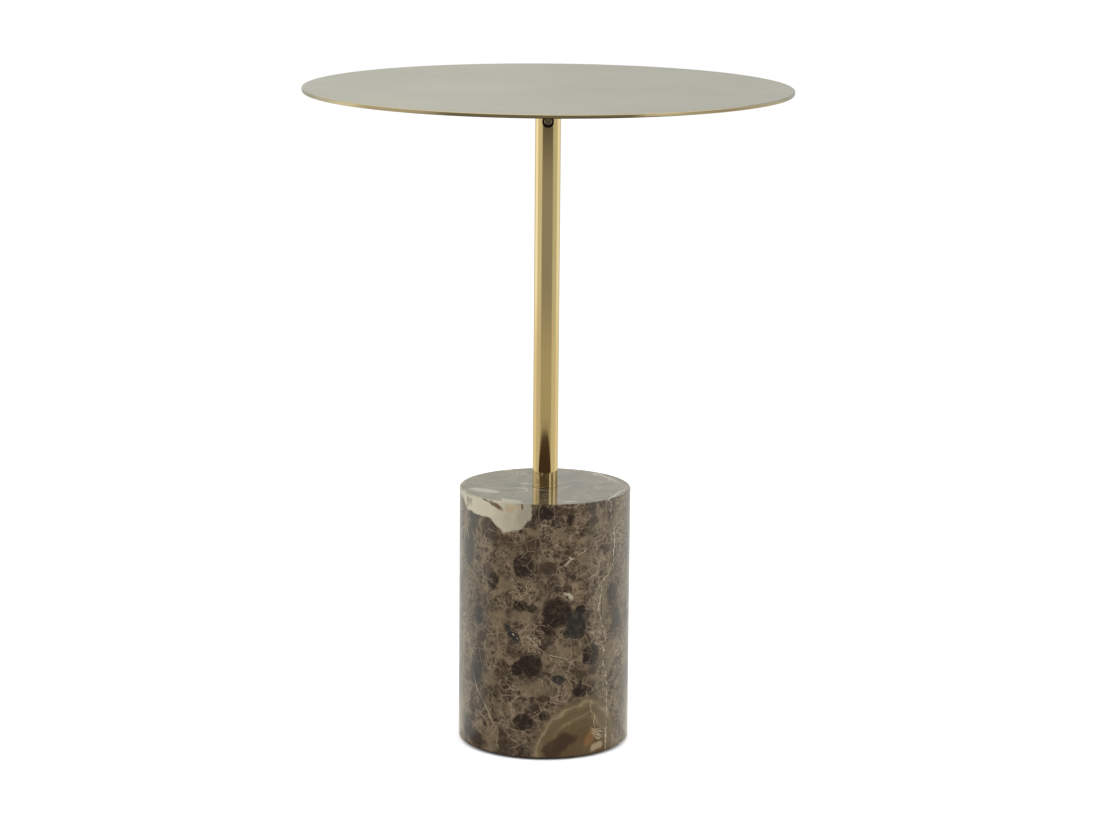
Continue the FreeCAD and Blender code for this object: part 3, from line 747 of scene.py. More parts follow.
# %% Placed lumps
PALE_PATCHES = (
    (31, 158, 9, 6, 0), (-30, 138, 8, 6, 0), (46, 122, 7, 13, 0), (-35, 108, 8, 10, 0), (-15, 114, 9, 7, 0),
    (14, 85, 11, 7, 10), (51, 79, 6, 13, 0), (39, 64, 6, 5, 0), (-5, 55, 11, 5, 0), (-41, 60, 5, 5, 0),
    (12, 178, 7, 4, 0), (-8, 181, 6, 3, 0),
)
BROWN_LUMPS = (
    (-43, 182, 9, 7, 0), (-10, 169, 9, 8, 0), (9, 164, 3, 4, 0), (4, 153, 7, 5, 20), (48, 164, 4, 4, 0),
    (38, 188, 5, 4, 0), (-47, 93, 5, 5, 0), (-50, 79, 6, 7, 0), (-29, 6, 7, 8, 0), (-1, 48, 6, 3, 0),
    (10, 198, 19, 4, 5), (39, 69, 5, 4, 0), (-44, 148, 6, 5, 0),
)
DARK_LUMPS = (
    (-16, 154, 9, 10, 10), (-40, 140, 6, 7, 15), (-18, 122, 6, 5, 0), (-10, 120, 4, 4, 0),
    (10, 117, 12, 12, 0), (3, 105, 6, 6, 0), (28, 119, 4, 4, 0), (-10, 75, 9, 10, 10), (-21, 71, 5, 6, 0),
    (-16, 29, 8, 7, 0), (1, 34, 6, 4, 0), (20, 191, 4, 5, 0), (37, 81, 8, 9, 0), (29, 53, 7, 5, 0),
    (0, 196, 8, 5, 0),
)
SLATE_LUMPS = (
    (53, 127, 6, 9, 0), (25, 106, 9, 14, 0), (57, 106, 6, 9, -25), (-59, 160, 8, 17, 0),
    (-56, 184, 7, 9, 0), (-53, 65, 8, 14, 0), (-51, 110, 6, 9, 0), (-60, 15, 7, 9, 0), (12, 63, 7, 4, 0),
    (-25, 100, 11, 4, 45),
)
LUMP_TONES = (
    (PALE_PATCHES, seen(114, 100, 79), 0.75, (0.5, 1.4)),
    (BROWN_LUMPS, seen(60, 49, 39), 0.85, (0.75, 1.15)),
    (DARK_LUMPS, seen(40, 33, 28), 0.95, (0.8, 1.12)),
    (SLATE_LUMPS, seen(44, 44, 43), 0.95, (0.7, 1.15)),
)
LUMP_CLOUDS, LUMP_THINNEST = (0.3, 0.55), 0.6


def placed_lumps(stone, colour, ragged):
    """Pale, brown, near-black and slate lumps over the ground, soft at the edge and cloudy within."""
    clouds = stone.noise(ragged, size=5.0, detail=4.0, roughness=0.6)
    cloudy = stone.step(clouds, *LUMP_CLOUDS, LUMP_THINNEST, 1.0)
    for lumps, tone, share, edge in LUMP_TONES:
        inside = filled(stone, on_front(stone, ragged, lumps), edge, share)
        colour = stone.mix(stone.math("MULTIPLY", inside, cloudy), colour, tone)
    return colour


print(sum(len(lumps) for lumps, *_ in LUMP_TONES), "lumps placed by hand")

# %% [markdown]
# Marble, third layer: calcite.
#
# A patch of white calcite breaks the front edge on the left. Calcite breaks along planes, so the patch is
# a few straight cuts through the stone, each with the calcite on its left as it runs. It is only a crust,
# so it ends some way behind the face, and comes up again as streaks on top.

# %% Calcite
CALCITE_WHITE, CALCITE_GREY = seen(192, 184, 160), seen(152, 144, 126)
CALCITE_BEIGE, CALCITE_RUST = seen(176, 154, 122), seen(98, 75, 53)
STREAK_WHITE = seen(186, 179, 160)
CRUST_CUTS = (((-66, 200), (-60, 190)), ((-60, 190), (-41, 188)), ((-37, 180), (-37, 203)))
WEDGE_CUTS = (((-56, 203), (-31.6, 178)), ((-31.6, 178), (-18, 183.5)), ((-18, 183.5), (-10.5, 191.5)),
              ((-10.5, 191), (-10, 203)))
BLOCK_CUTS = (((-34, 203), (-36, 190)), ((-36, 190), (-15, 188)), ((-14, 188), (-17, 203)))
CALCITE_DEPTHS = ((CRUST_CUTS, 1.2), (WEDGE_CUTS, 2.0), (BLOCK_CUTS, 12.0))
BEIGE_SPOTS = ((-27, 198.8, 4.5, 3.5, 0), (-20, 200, 2.5, 1.5, 0))
RUST_SPLINTERS = ((-38.5, 199.6, 7.5, 1.9, 20), (-46, 202, 4, 0.8, 12), (-17.6, 200.5, 0.9, 3.0, 0))
CALCITE_STAINS = ((BEIGE_SPOTS, CALCITE_BEIGE, 0.7), (RUST_SPLINTERS, CALCITE_RUST, 0.95))
STAIN_EDGE, CALCITE_EDGE, STREAK_EDGE = (0.6, 1.3), (-0.9, 0.5), (0.75, 1.2)
GREYS_ACROSS, GREY_CLOUDS = (-34.0, 2.0), 22.0
CALCITE_SHARE = 0.95
TOP_STREAKS = (
    (-47, -18, 14, 6.0, -33), (50, 31, 20, 1.5, -60), (42, 45, 6, 3.0, -50), (-16, 8, 4, 2.0, 5),
    (-30, 57, 4, 2.5, 20), (20, -55, 5, 2.0, 12), (56, -27, 21, 1.3, 70),
)


def outside_cuts(stone, points, cuts):
    """How far a point lies outside some straight cuts, seen from the front."""
    x, z = stone.axis(points, "X"), stone.axis(points, "Z")
    outside = []
    for (x0, z0), (x1, z1) in cuts:
        run = math.hypot(x1 - x0, z1 - z0)
        across, up = (z1 - z0) / run, -(x1 - x0) / run
        reach = stone.math("ADD", stone.math("MULTIPLY", x, across), stone.math("MULTIPLY", z, up))
        outside.append(stone.math("SUBTRACT", reach, across * x0 + up * (z0 + MARBLE_FOOT)))
    return joined(stone, outside, "MAXIMUM")


def calcite_shape(stone, ragged):
    """The distance to the nearest cut shape, each only so deep behind the face and only in front."""
    shapes = []
    for cuts, depth in CALCITE_DEPTHS:
        too_deep = stone.math("SUBTRACT", MARBLE_RADIUS - depth, stone.from_axis(ragged))
        shape = stone.math("MAXIMUM", outside_cuts(stone, ragged, cuts), too_deep)
        shapes.append(stone.math("MAXIMUM", shape, stone.axis(ragged, "Y")))
    return joined(stone, shapes)


def calcite_patch(stone, colour, ragged):
    """White that greys to the right, stained beige and rust, in the cut shapes, and the top's streaks."""
    clouds = stone.math("MULTIPLY", stone.noise(ragged, size=9.0, detail=4.0), GREY_CLOUDS)
    greyer = stone.step(stone.math("ADD", stone.axis(ragged, "X"), clouds), *GREYS_ACROSS)
    white = stone.mix(greyer, CALCITE_WHITE, CALCITE_GREY)
    for spots, tone, share in CALCITE_STAINS:
        stained = filled(stone, on_front(stone, ragged, spots), STAIN_EDGE, share)
        white = stone.mix(stained, white, tone)
    patch = filled(stone, calcite_shape(stone, ragged), CALCITE_EDGE, CALCITE_SHARE)
    colour = stone.mix(patch, colour, white)
    streaks = filled(stone, on_top(stone, ragged, TOP_STREAKS), STREAK_EDGE, CALCITE_SHARE)
    return stone.mix(streaks, colour, STREAK_WHITE)


print(len(CALCITE_DEPTHS), "calcite shapes and", len(TOP_STREAKS), "streaks on top")

# %% [markdown]
# Marble, third layer: veins.
#
# A thin white sheet crosses the right of the front, and its edge is the vein that shows. It could be a
# chain of ellipsoids, but it is one line: its place across is a curve of its height, drawn in a curve node.
# Short straight splinters, white and tan, are ellipsoids again, drawn out until they are hairs.

# %% Veins
VEIN_PATH = (
    (0.0, 49.0), (0.3, 48.5), (0.39, 46.5), (0.47, 47.5), (0.57, 43.0), (0.63, 44.5), (0.69, 47.0),
    (0.71, 51.0), (0.79, 53.5), (0.89, 53.5), (0.95, 51.5), (1.0, 51.0),
)
CURVE_SPAN = 100
VEIN_WIDTH = (0.1, 0.55)
VEIN_ENDS = (-30.0, -20.0)
WHITE_SPLINTERS = (
    (18, 157, 3, 0.6, -40), (21, 160, 2.5, 0.5, 25), (30, 164, 5, 0.25, -25), (18.5, 131, 3.6, 1.2, 15),
    (20.5, 129, 2.2, 1.8, 40), (-6, 92, 9, 0.2, 42), (10, 82.5, 9, 0.2, 18), (-52, 50, 11, 0.25, 63),
    (-44, 34, 9, 0.25, 58), (-24, 99, 1.0, 0.5, 40), (-20.5, 96, 0.8, 0.5, 40), (-60, 172, 5, 0.4, 70),
    (40, 146, 8, 0.2, -30), (47, 139, 0.8, 0.8, 0), (44, 135, 0.6, 0.6, 0), (49, 61, 0.6, 0.8, 0),
)
TAN_SPLINTERS = (
    (-26, 23, 12, 0.3, 16), (-26, 16, 11, 0.3, 38), (-51, 16, 9, 0.3, 31), (-40, 16, 10, 0.3, -51),
    (-36, 12, 0.3, 9, 5), (-5, 35, 7, 0.25, -36), (-31, 31, 9, 0.25, 52), (-20, 9, 8, 0.25, -28),
)
DARK_CRACK = ((44.5, 118, 0.5, 11, 0), (46, 100, 0.5, 8, 0), (47, 90, 0.5, 5, 0), (53, 195, 0.6, 6, 10))
SPLINTER_EDGE, CRACK_EDGE = (0.6, 1.5), (0.6, 1.4)
VEIN_SHARE, CRACK_SHARE, TAN_SHARE, WHITE_SHARE = 0.8, 0.8, 0.65, 0.7
VEIN_BREAKS, VEIN_FAINTEST = (0.42, 0.58), 0.05


def vein_line(stone, points):
    """How far across the vein lies at a point's height, in millimetres, read off a drawn curve."""
    inputs = {"Value": stone.axis(points, "Z"), "From Min": MARBLE_FOOT, "From Max": MARBLE_TOP}
    made = stone.tree.nodes.new("ShaderNodeFloatCurve")
    curve = made.mapping.curves[0]
    for point, (up, across) in zip(curve.points, (VEIN_PATH[0], VEIN_PATH[-1])):
        point.location = (up, across / CURVE_SPAN)
    for up, across in VEIN_PATH[1:-1]:
        curve.points.new(up, across / CURVE_SPAN)
    made.mapping.update()
    stone.tree.links.new(stone.node("MapRange", inputs), made.inputs["Value"])
    return stone.math("MULTIPLY", made.outputs[0], CURVE_SPAN)


def white_veins(stone, colour, ragged):
    """A dark crack, tan splinters, a thin broken sheet along the vein's line, and white splinters."""
    away = stone.math("ABSOLUTE", stone.math("SUBTRACT", stone.axis(ragged, "X"), vein_line(stone, ragged)))
    front = stone.step(stone.axis(ragged, "Y"), *VEIN_ENDS, 1.0, 0.0)
    broken = stone.step(stone.noise(ragged, size=5.0, detail=3.0), *VEIN_BREAKS, VEIN_FAINTEST, 1.0)
    whole = stone.math("MULTIPLY", front, broken)
    sheet = stone.math("MULTIPLY", filled(stone, away, VEIN_WIDTH, VEIN_SHARE), whole)
    crack = filled(stone, on_front(stone, ragged, DARK_CRACK), CRACK_EDGE, CRACK_SHARE)
    colour = stone.mix(crack, colour, CRUMB_BROWN)
    fan = filled(stone, on_front(stone, ragged, TAN_SPLINTERS), SPLINTER_EDGE, TAN_SHARE)
    colour = stone.mix(fan, colour, THREAD_TAN)
    splinters = filled(stone, on_front(stone, ragged, WHITE_SPLINTERS), SPLINTER_EDGE, WHITE_SHARE)
    return stone.mix(stone.math("MAXIMUM", sheet, splinters), colour, CALCITE_WHITE)


print("one vein and", len(WHITE_SPLINTERS) + len(TAN_SPLINTERS), "splinters")

# %% [markdown]
# Marble, round the back.
#
# No picture shows the sides and the back, so there the stone may be any piece of the same quarry. Cells
# choose where its lumps lie and noise draws its veins, in the tones and sizes of the front, and a few shards
# of calcite are listed one by one. A mask by depth keeps lumps and veins off the face whose lumps are
# listed.

# %% Sides and back
FAR_FROM_FRONT = (-34.0, -14.0)
FAR_LUMPS = ((38.0, 0.42, 0.5, LUMP_TONES[0]), (27.0, 0.36, 0.45, LUMP_TONES[1]),
             (31.0, 0.38, 0.45, LUMP_TONES[2]), (25.0, 0.36, 0.6, LUMP_TONES[3]))
FAR_TALLER = (1.0, 1.0, 1.2)
FAR_LUMP_CORE, FAR_LUMP_BLUR = 0.7, 0.02
FAR_VEINS = ((70.0, 0.005, 0.9, 2.0), (42.0, 0.005, 0.6, 2.0))
VEIN_SHAKE = (7.0, 1.0)
FAR_CALCITE = (
    (146, 165, 17, 3.4, 28), (157, 157, 10, 2.2, 40), (138, 171, 9, 1.8, 12), (168, 149, 6, 1.2, 35),
    (-112, 34, 2.6, 15, -24), (-105, 24, 1.4, 8, -30), (80, 112, 9, 1.5, -35),
)
FAR_RUST = ((149, 164, 9, 1.0, 28), (-111, 37, 1.0, 6, -24))
SHARD_EDGE, SHARD_CLOUDS = (0.88, 1.02), (0.3, 0.7)
SHARD_RUST_SHARE = 0.9


def far_lumps(stone, colour, points, far):
    """Lumps round the middles of the cells of a coarse paving whose random draw is over a level."""
    for size, radius, level, (_, tone, share, _) in FAR_LUMPS:
        draw = stone.axis(stone.cells(points, size, "Color"), "X")
        chosen = stone.step(draw, level, level + FAR_LUMP_BLUR)
        inside = filled(stone, stone.cells(points, size), (FAR_LUMP_CORE * radius, radius), share)
        here = stone.math("MULTIPLY", stone.math("MULTIPLY", inside, chosen), far)
        colour = stone.mix(here, colour, tone)
    return colour


def far_side(stone, colour, bent, ragged):
    """Far from the front: lumps by cells, veins as contours; and listed shards of clouded calcite."""
    far = stone.step(stone.axis(ragged, "Y"), *FAR_FROM_FRONT)
    colour = far_lumps(stone, colour, stone.stretch(ragged, FAR_TALLER), far)
    shaken = stone.warp(bent, VEIN_SHAKE)
    for row in FAR_VEINS:
        vein = stone.math("MULTIPLY", hairlines(stone, shaken, *row), far)
        colour = stone.mix(vein, colour, CALCITE_WHITE)
    clouds = stone.step(stone.noise(ragged, size=9.0, detail=4.0), *SHARD_CLOUDS)
    white = stone.mix(clouds, CALCITE_WHITE, CALCITE_GREY)
    stained = filled(stone, on_side(stone, ragged, FAR_RUST), STAIN_EDGE, SHARD_RUST_SHARE)
    shards = filled(stone, on_side(stone, ragged, FAR_CALCITE), SHARD_EDGE, CALCITE_SHARE)
    return stone.mix(shards, colour, stone.mix(stained, white, CALCITE_RUST))


print(len(FAR_LUMPS), "kinds of lump and", len(FAR_CALCITE), "shards round the back")

# %% [markdown]
# Marble, fourth layer: the banded knot at the foot.
#
# Water once filled a hollow here and left it in shells, olive and beige, round one heart. Its colour
# depends only on how far a point lies from the heart, so a ramp over that distance paints all the shells at
# once. The points are bent first, or the knot would look like a target.

# %% Banded knot
KNOT_HEART = (30.0, -58.0, MARBLE_FOOT)
KNOT_SIZE = (41.0, 30.0, 48.0)
KNOT_SHELLS = (
    (0.0, seen(98, 81, 57)), (0.45, seen(94, 77, 54)), (0.60, seen(98, 81, 56)), (0.65, seen(134, 117, 88)),
    (0.69, seen(106, 91, 66)), (0.79, seen(100, 86, 62)), (0.86, seen(116, 101, 75)),
    (0.90, seen(140, 124, 97)), (0.94, seen(112, 98, 74)), (1.0, seen(100, 88, 67)),
)
KNOT_OLIVE = seen(100, 85, 61)
KNOT_PALE = ((2, 22, 1.2, 16, 32), (10, 33, 12, 1.2, -35), (-4, 8, 1.0, 9, 20), (24, 41, 10, 1.0, -18),
             (52, 36, 9, 1.2, 40), (30, 33, 11, 0.8, -15), (48, 33, 8, 0.8, 25))
KNOT_DARK = ((15, 11, 13, 7, -22), (8, 5, 9, 6, -20))
KNOT_RUST = ((36, 14, 4.5, 8, 20),)
KNOT_CREAM = ((42, 6.0, 6.5, 3.4, -8), (40.5, 21, 6, 0.7, 18), (41, 18.4, 7.5, 0.8, 22),
              (42, 15.6, 8, 0.8, 22), (43, 12.8, 7, 0.8, 18), (37, 38, 0.35, 7, 0), (39, 28, 0.35, 7, -10))
KNOT_LAYERS = (
    (KNOT_PALE, seen(142, 126, 98), 0.55),
    (KNOT_DARK, seen(66, 50, 40), 0.9),
    (KNOT_RUST, seen(140, 104, 68), 0.7),
    (KNOT_CREAM, seen(176, 158, 126), 0.8),
)
KNOT_LAYER_EDGE, KNOT_EDGE = (0.7, 1.2), (0.90, 1.06)
KNOT_FADING, KNOT_FADED_SHARE = (0.42, 0.6), 0.75


def banded_knot(stone, colour, bent):
    """Shells of olive and beige by distance from the heart, then pale, dark, rust and cream marks."""
    reach = ellipsoid(stone, bent, KNOT_HEART, KNOT_SIZE)
    faded = stone.step(stone.noise(bent, size=9.0, detail=3.0), *KNOT_FADING, 0.0, KNOT_FADED_SHARE)
    shells = stone.mix(faded, stone.ramp(reach, KNOT_SHELLS), KNOT_OLIVE)
    for lumps, tone, share in KNOT_LAYERS:
        inside = filled(stone, on_front(stone, bent, lumps), KNOT_LAYER_EDGE, share)
        shells = stone.mix(inside, shells, tone)
    return stone.mix(filled(stone, reach, KNOT_EDGE, 1.0), colour, shells)


print(len(KNOT_SHELLS), "stops from the knot's heart to its skin")

# %% [markdown]
# Marble, put together.
#
# Layers go on in the order in which the stone got them: ground, net, lumps, then knot, calcite and veins.
# They could be materials of their own, joined by masks, but one colour handed on from layer to layer is
# easier to follow. Each layer is read at points that noise has bent, given here by pairs of the noise's size
# and reach in millimetres. The polish is even, so the surface hardly varies, and wax deepens its shine.

# %% Brown marble
CROSSING_THREADS = (12.0, 0.03, 0.65)
GROUND_BEND, CRUMBLE = (26.0, 6.0), (4.0, 1.1)
RAGS = ((9.0, 2.4), (2.4, 0.8))
LUMP_RAG = (6.0, 1.8)
KNOT_BENDS = ((22.0, 4.5), (7.0, 1.6))
STONE_ROUGHNESS = (0.06, 0.11)
STONE_RIPPLE = 0.004 * MM


def brown_marble():
    """The whole stone, layer on layer, under one polish."""
    stone = Finish("brown_marble")
    place = stone.points()
    bent = stone.warp(place, GROUND_BEND)
    rough = stone.warp(bent, CRUMBLE)
    ragged = stone.warp(place, *RAGS)
    lumpy = stone.warp(ragged, LUMP_RAG)
    colour = crushed_ground(stone, bent, rough)
    colour = thread_net(stone, colour, bent, rough)
    colour = placed_lumps(stone, colour, lumpy)
    colour = far_side(stone, colour, bent, lumpy)
    colour = stone.mix(threads(stone, rough, *CROSSING_THREADS), colour, THREAD_TAN)
    colour = banded_knot(stone, colour, stone.warp(ragged, *KNOT_BENDS))
    colour = calcite_patch(stone, colour, ragged)
    colour = white_veins(stone, colour, ragged)
    return stone.surface({
        "Base Color": colour,
        "Roughness": stone.step(stone.noise(place, size=6.0, detail=3.0), 0.3, 0.7, *STONE_ROUGHNESS),
        "IOR": 1.55,
        "Coat Weight": 0.4,
        "Coat Roughness": 0.04,
        "Normal": stone.bump(stone.noise(place, size=4.0), STONE_RIPPLE),
    })


FINISHES["brown_marble"] = brown_marble()

# %% [markdown]
# Zinc and black oxide: the hardware's steel.
#
# Under the top and inside the marble there is plain hardware. It hardly shows, but it is the difference
# between a table and a picture of one. Bright zinc grows in small crystals and is clouded with yellow and
# blue. Black oxide is a thin skin that wears through to bare steel in specks. A plain grey and a plain black
# would tell the two apart, but cells for the crystals and noise for the specks hold up close by.

# %% Plated steel
ZINC_BLUE, ZINC_YELLOW = (0.50, 0.52, 0.56, 1), (0.58, 0.56, 0.49, 1)
ZINC_ROUGHNESS, ZINC_GRAIN = (0.24, 0.38), 0.01 * MM
OXIDE_BLACK, OXIDE_WORN = (0.030, 0.028, 0.025, 1), (0.16, 0.15, 0.13, 1)
OXIDE_ROUGHNESS, OXIDE_GRAIN = (0.42, 0.3), 0.012 * MM


def zinc_steel():
    """Bright zinc plate: crystals of slightly different gloss, faint yellow and blue clouds."""
    plate = Finish("zinc_steel")
    place = plate.points()
    crystals = plate.axis(plate.cells(place, 0.8, "Color"), "X")
    clouds = plate.step(plate.noise(place, size=5.0, detail=3.0), 0.35, 0.65)
    return plate.surface({
        "Base Color": plate.mix(clouds, ZINC_BLUE, ZINC_YELLOW),
        "Metallic": 1.0,
        "Roughness": plate.step(crystals, 0.0, 1.0, *ZINC_ROUGHNESS),
        "Normal": plate.bump(plate.noise(place, size=0.6, detail=3.0), ZINC_GRAIN),
    })


def black_steel():
    """Black oxide on steel: a near-black skin, worn to bare metal in small specks."""
    skin = Finish("black_steel")
    place = skin.points()
    worn = skin.step(skin.noise(place, size=1.6, detail=5.0, roughness=0.65), 0.56, 0.72)
    return skin.surface({
        "Base Color": skin.mix(worn, OXIDE_BLACK, OXIDE_WORN),
        "Metallic": 0.85,
        "Roughness": skin.step(worn, 0.0, 1.0, *OXIDE_ROUGHNESS),
        "Normal": skin.bump(skin.noise(place, size=0.5, detail=3.0), OXIDE_GRAIN),
    })


FINISHES["zinc_steel"] = zinc_steel()
FINISHES["black_steel"] = black_steel()

# %% [markdown]
# Rubbed steel and turned brass: the clamp.
#
# The clamping screw is black too, but its end is what a key turns, so it is rubbed to grey steel with a
# dark bloom left in the low places. The pad behind it is bare brass as it leaves the lathe, with fine
# grooves round its axis, which lies along Y: noise drawn out along X and Z does for a piece this small.

# %% Clamp metals
RUBBED_BARE, RUBBED_BLOOM = (0.42, 0.36, 0.26, 1), (0.11, 0.095, 0.07, 1)
RUBBED_ROUGHNESS, RUBBED_GRAIN = (0.26, 0.45), 0.008 * MM
LATHE_GROOVE, GROOVE_DEPTH = (40.0, 0.12, 40.0), 0.008 * MM
TURNED_DARK, TURNED_BRIGHT = (0.62, 0.46, 0.22, 1), (0.78, 0.62, 0.34, 1)


def worn_steel():
    """Oxide rubbed through by the key: bare grey steel with a dark bloom left in the low places."""
    screw = Finish("worn_steel")
    place = screw.points()
    bloom = screw.step(screw.noise(place, size=0.9, detail=4.0, roughness=0.6), 0.45, 0.7)
    return screw.surface({
        "Base Color": screw.mix(bloom, RUBBED_BARE, RUBBED_BLOOM),
        "Metallic": 1.0,
        "Roughness": screw.step(bloom, 0.0, 1.0, *RUBBED_ROUGHNESS),
        "Normal": screw.bump(screw.noise(place, size=0.35, detail=3.0), RUBBED_GRAIN),
    })


def turned_brass():
    """Bare brass as it leaves the lathe: fine grooves round the axis, along Y."""
    bar = Finish("soft_brass")
    grooves = bar.noise(bar.stretch(bar.points(), LATHE_GROOVE))
    return bar.surface({
        "Base Color": bar.mix(grooves, TURNED_DARK, TURNED_BRIGHT),
        "Metallic": 1.0,
        "Roughness": 0.24,
        "Normal": bar.bump(grooves, GROOVE_DEPTH),
    })


FINISHES["soft_brass"] = turned_brass()
rubbed_screw = worn_steel()

# %% [markdown]
# Nylon and rubber: what lies between.
#
# The washer that the top turns on and the ring under the stem are natural nylon, milky because light goes a
# little way into it. A plain white would look like paint, so it has some subsurface. The gasket in the
# recess is sheet rubber, and its pebbled skin is made of cells.

# %% Nylon and rubber
NYLON_DIM, NYLON_MILKY = (0.76, 0.745, 0.69, 1), (0.84, 0.83, 0.785, 1)
NYLON_DEPTHS, NYLON_GRAIN = (0.002, 0.0018, 0.0015), 0.01 * MM
RUBBER_BLACK, RUBBER_DUSTY = (0.018, 0.018, 0.018, 1), (0.034, 0.033, 0.032, 1)
PEBBLE_DEPTH = 0.03 * MM


def natural_nylon():
    """Natural nylon: milky, faintly mottled, with the soft grain of a moulded face."""
    resin = Finish("nylon")
    place = resin.points()
    return resin.surface({
        "Base Color": resin.mix(resin.noise(place, size=4.0, detail=3.0), NYLON_DIM, NYLON_MILKY),
        "Roughness": 0.42,
        "Subsurface Weight": 0.15,
        "Subsurface Radius": NYLON_DEPTHS,
        "Normal": resin.bump(resin.noise(place, size=0.4), NYLON_GRAIN),
    })


def black_rubber():
    """Rubber sheet: matt black with a fine pebbled skin."""
    sheet = Finish("rubber")
    place = sheet.points()
    return sheet.surface({
        "Base Color": sheet.mix(sheet.noise(place, size=3.0, detail=3.0), RUBBER_BLACK, RUBBER_DUSTY),
        "Roughness": 0.68,
        "Normal": sheet.bump(sheet.cells(place, 0.5), PEBBLE_DEPTH),
    })


FINISHES["nylon"] = natural_nylon()
FINISHES["rubber"] = black_rubber()

# %% [markdown]
# Pressed felt: under the stone.
#
# Felt is wool pressed until its short fibres lock. Hair particles would be a waste on a pad that the stone
# hides, so two noises, drawn out along X and along Y on tangled points, cross as fibres do. A sheen softens
# the edge.

# %% Felt
FELT_DARK, FELT_FIBRE = (0.020, 0.018, 0.016, 1), (0.052, 0.047, 0.042, 1)
FELT_TANGLE = (1.2, 0.8)
FIBRE_WAYS = ((2.2, 0.12, 0.3), (0.12, 2.2, 0.3))
FIBRE_DEPTH = 0.12 * MM


def pressed_felt():
    """Pressed wool felt: short fibres that cross at all angles, a soft sheen."""
    felt = Finish("felt")
    tangled = felt.warp(felt.points(), FELT_TANGLE)
    fibres = felt.math("MAXIMUM", *[felt.noise(felt.stretch(tangled, way)) for way in FIBRE_WAYS])
    return felt.surface({
        "Base Color": felt.mix(felt.step(fibres, 0.4, 0.8), FELT_DARK, FELT_FIBRE),
        "Roughness": 0.95,
        "Sheen Weight": 0.25,
        "Sheen Roughness": 0.5,
        "Normal": felt.bump(fibres, FIBRE_DEPTH),
    })


FINISHES["felt"] = pressed_felt()

# %% [markdown]
# Finishes on the pieces.
#
# The packed record says which finish each CAD piece has, so they are handed out by that list and not one by
# one. Only the clamping screw differs from its list: what shows of it is rubbed.

# %% Hand out the finishes
for subpart in frame["record"]["subparts"]:
    nodes[subpart["node"]].data.materials[0] = FINISHES[subpart["material_slot"]]
nodes["set_screw"].data.materials[0] = rubbed_screw
print(len(FINISHES), "finishes on", len(nodes), "nodes")

# %% [markdown]
# The felt pad.
#
# A disc of pressed felt is glued under the marble. Its cut edge is not square: the weight of the stone
# squeezes it, so it bulges softly between the stone and the floor, and the cut is a little uneven. Cloth
# simulation is for fabric with folds and free edges, and this has neither, so its edge is a formula.

# %% Felt pad
PAD_AROUND = 160
PAD_EDGE_STEPS = 13
PAD_RING_SHARES = np.array([0.0, 0.25, 0.5, 0.75, 0.92])
PAD_BULGE_SHARE = 0.6
PAD_WAVER = 0.4 * MM
WAVER_FADE = 8
WAVER_SINES = ((7, 0.5, 0.4), (17, 0.3, 2.0), (31, 0.2, 0.0))


def felt_pad():
    """A flat disc whose edge is a half ellipse and whose radius wavers round the rim by a sum of sines."""
    low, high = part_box("base_pad")
    rim, thick = high.x - PAD_WAVER, high.z - low.z
    side = np.radians(np.linspace(-90, 90, PAD_EDGE_STEPS))
    edge_radius = rim - PAD_BULGE_SHARE * thick * (1 - np.cos(side))
    edge_height = low.z + thick / 2 * (1 + np.sin(side))
    rings = rim * PAD_RING_SHARES
    radius = np.concatenate([rings, edge_radius, rings[::-1]])[:, None]
    below, above = np.full(len(rings), low.z), np.full(len(rings), high.z)
    height = np.concatenate([below, edge_height, above])[:, None]
    angle = ring_angles(PAD_AROUND)
    uneven = sum(share * np.sin(waves * angle + start) for waves, share, start in WAVER_SINES)
    wavering = radius + PAD_WAVER * uneven * (radius / rim) ** WAVER_FADE
    return make_mesh("felt_pad", *turned(wavering, height))


pad = felt_pad()
pad.data.materials.append(FINISHES["felt"])
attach(pad, "base")
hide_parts("base_pad")

# %% [markdown]
# The studs under the top.
#
# Four short threaded studs are welded to the underside of the sheet and carry the mounting plate. CAD has
# them as plain pins. A thread is a groove that climbs as it goes round, so on a grid of height and angle
# its depth depends only on height less one pitch per turn. The weld is a small hollow fillet at the root.

# %% One stud
STUD_RADIUS = 2.0 * MM
STUD_PITCH = 0.7 * MM
STUD_CHAMFER = 0.5 * MM
THREAD_DEPTH = 0.43 * MM
GROOVE_SLOPE, CREST_SHARE = 1.3, 0.2
WELD_RADIUS = 2.75 * MM
WELD_HEIGHT = 0.8 * MM
STUD_ROWS, STUD_AROUND = 150, 40


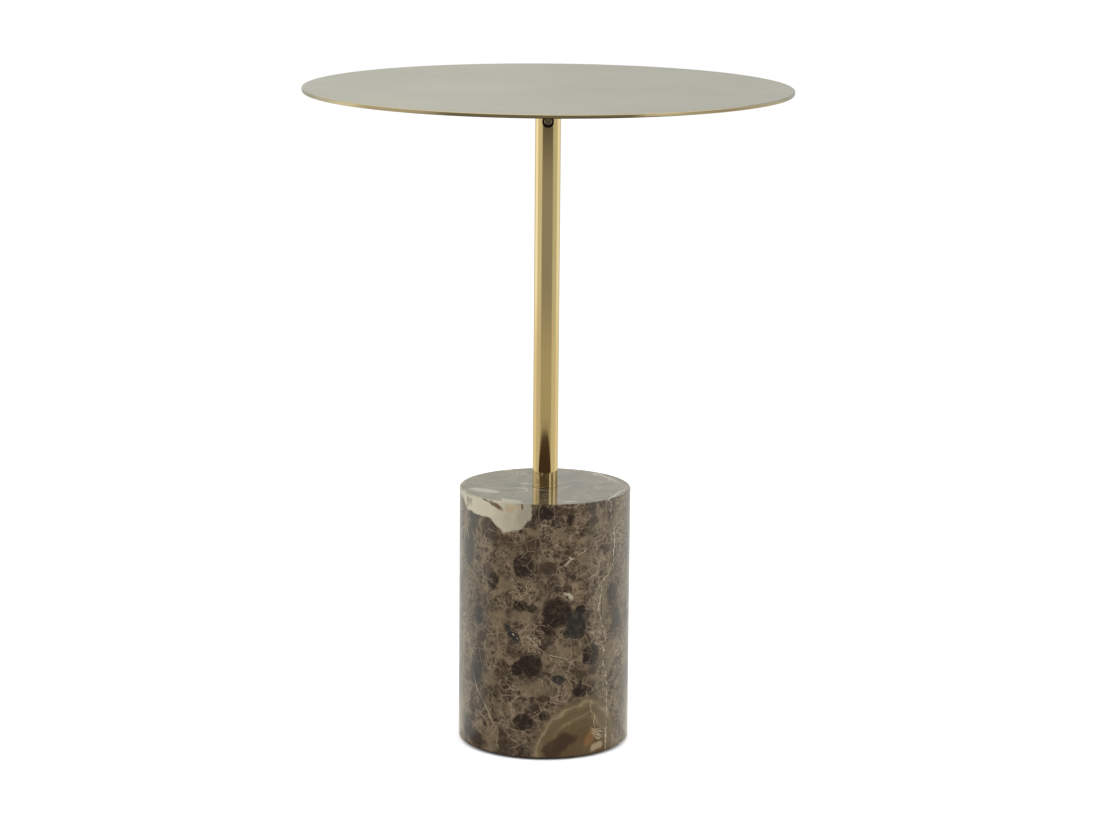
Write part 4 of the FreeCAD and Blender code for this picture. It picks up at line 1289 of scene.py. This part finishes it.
def threaded_stud(length):
    """A rod cut by a V groove along a helix, bevelled at its foot, with a weld fillet at its root."""
    rise = np.linspace(0, length, STUD_ROWS)[:, None]
    turns = rise / STUD_PITCH - ring_angles(STUD_AROUND) / math.tau
    groove = np.clip(GROOVE_SLOPE * (1 - 2 * np.abs(turns % 1 - 0.5)) - CREST_SHARE, 0, 1)
    running_out = np.clip((length - 2 * WELD_HEIGHT - rise) / STUD_PITCH, 0, 1)
    radius = STUD_RADIUS - THREAD_DEPTH * groove * running_out
    radius = np.minimum(radius, STUD_RADIUS - STUD_CHAMFER + rise)
    near_root = np.clip(1 - (length - rise) / WELD_HEIGHT, 0, 1)
    fillet = STUD_RADIUS + (WELD_RADIUS - STUD_RADIUS) * (1 - np.sqrt(1 - near_root ** 2))
    radius = np.where(near_root > 0, fillet, radius)
    closed = np.pad(radius, ((1, 1), (0, 0)))
    return closed, np.pad(rise, ((1, 1), (0, 0)), mode="edge")


STUD_LOW, STUD_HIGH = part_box("top_studs")
stud_length = STUD_HIGH.z - STUD_LOW.z
print("studs", round(stud_length / MM, 1), "mm long,", round(stud_length / STUD_PITCH), "turns of thread")

# %% [markdown]
# Four of them.
#
# The studs stand on one circle, a quarter turn apart. A copy of the object for each would do, but they are
# one node in CAD, so they are one mesh here: the points of one stud are set down at four places at once.

# %% Threaded studs
STUD_CIRCLE = 28.0 * MM
STUD_BEARINGS = np.radians([0, 90, 180, 270])


def all_studs():
    """The stud's points set down at four places on the circle, as one mesh."""
    points, faces = turned(*threaded_stud(stud_length))
    x, y = STUD_CIRCLE * np.cos(STUD_BEARINGS), STUD_CIRCLE * np.sin(STUD_BEARINGS)
    places = np.stack([x, y, np.full(len(STUD_BEARINGS), STUD_LOW.z)], axis=1)
    offsets = len(points) * np.arange(len(STUD_BEARINGS))[:, None, None]
    set_down = (points[None] + places[:, None]).reshape(-1, 3)
    return make_mesh("stud_threads", set_down, (faces + offsets).reshape(-1, 4))


studs = all_studs()
studs.data.materials.append(FINISHES["zinc_steel"])
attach(studs, "top")
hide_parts("top_studs")

# %% [markdown]
# The end.
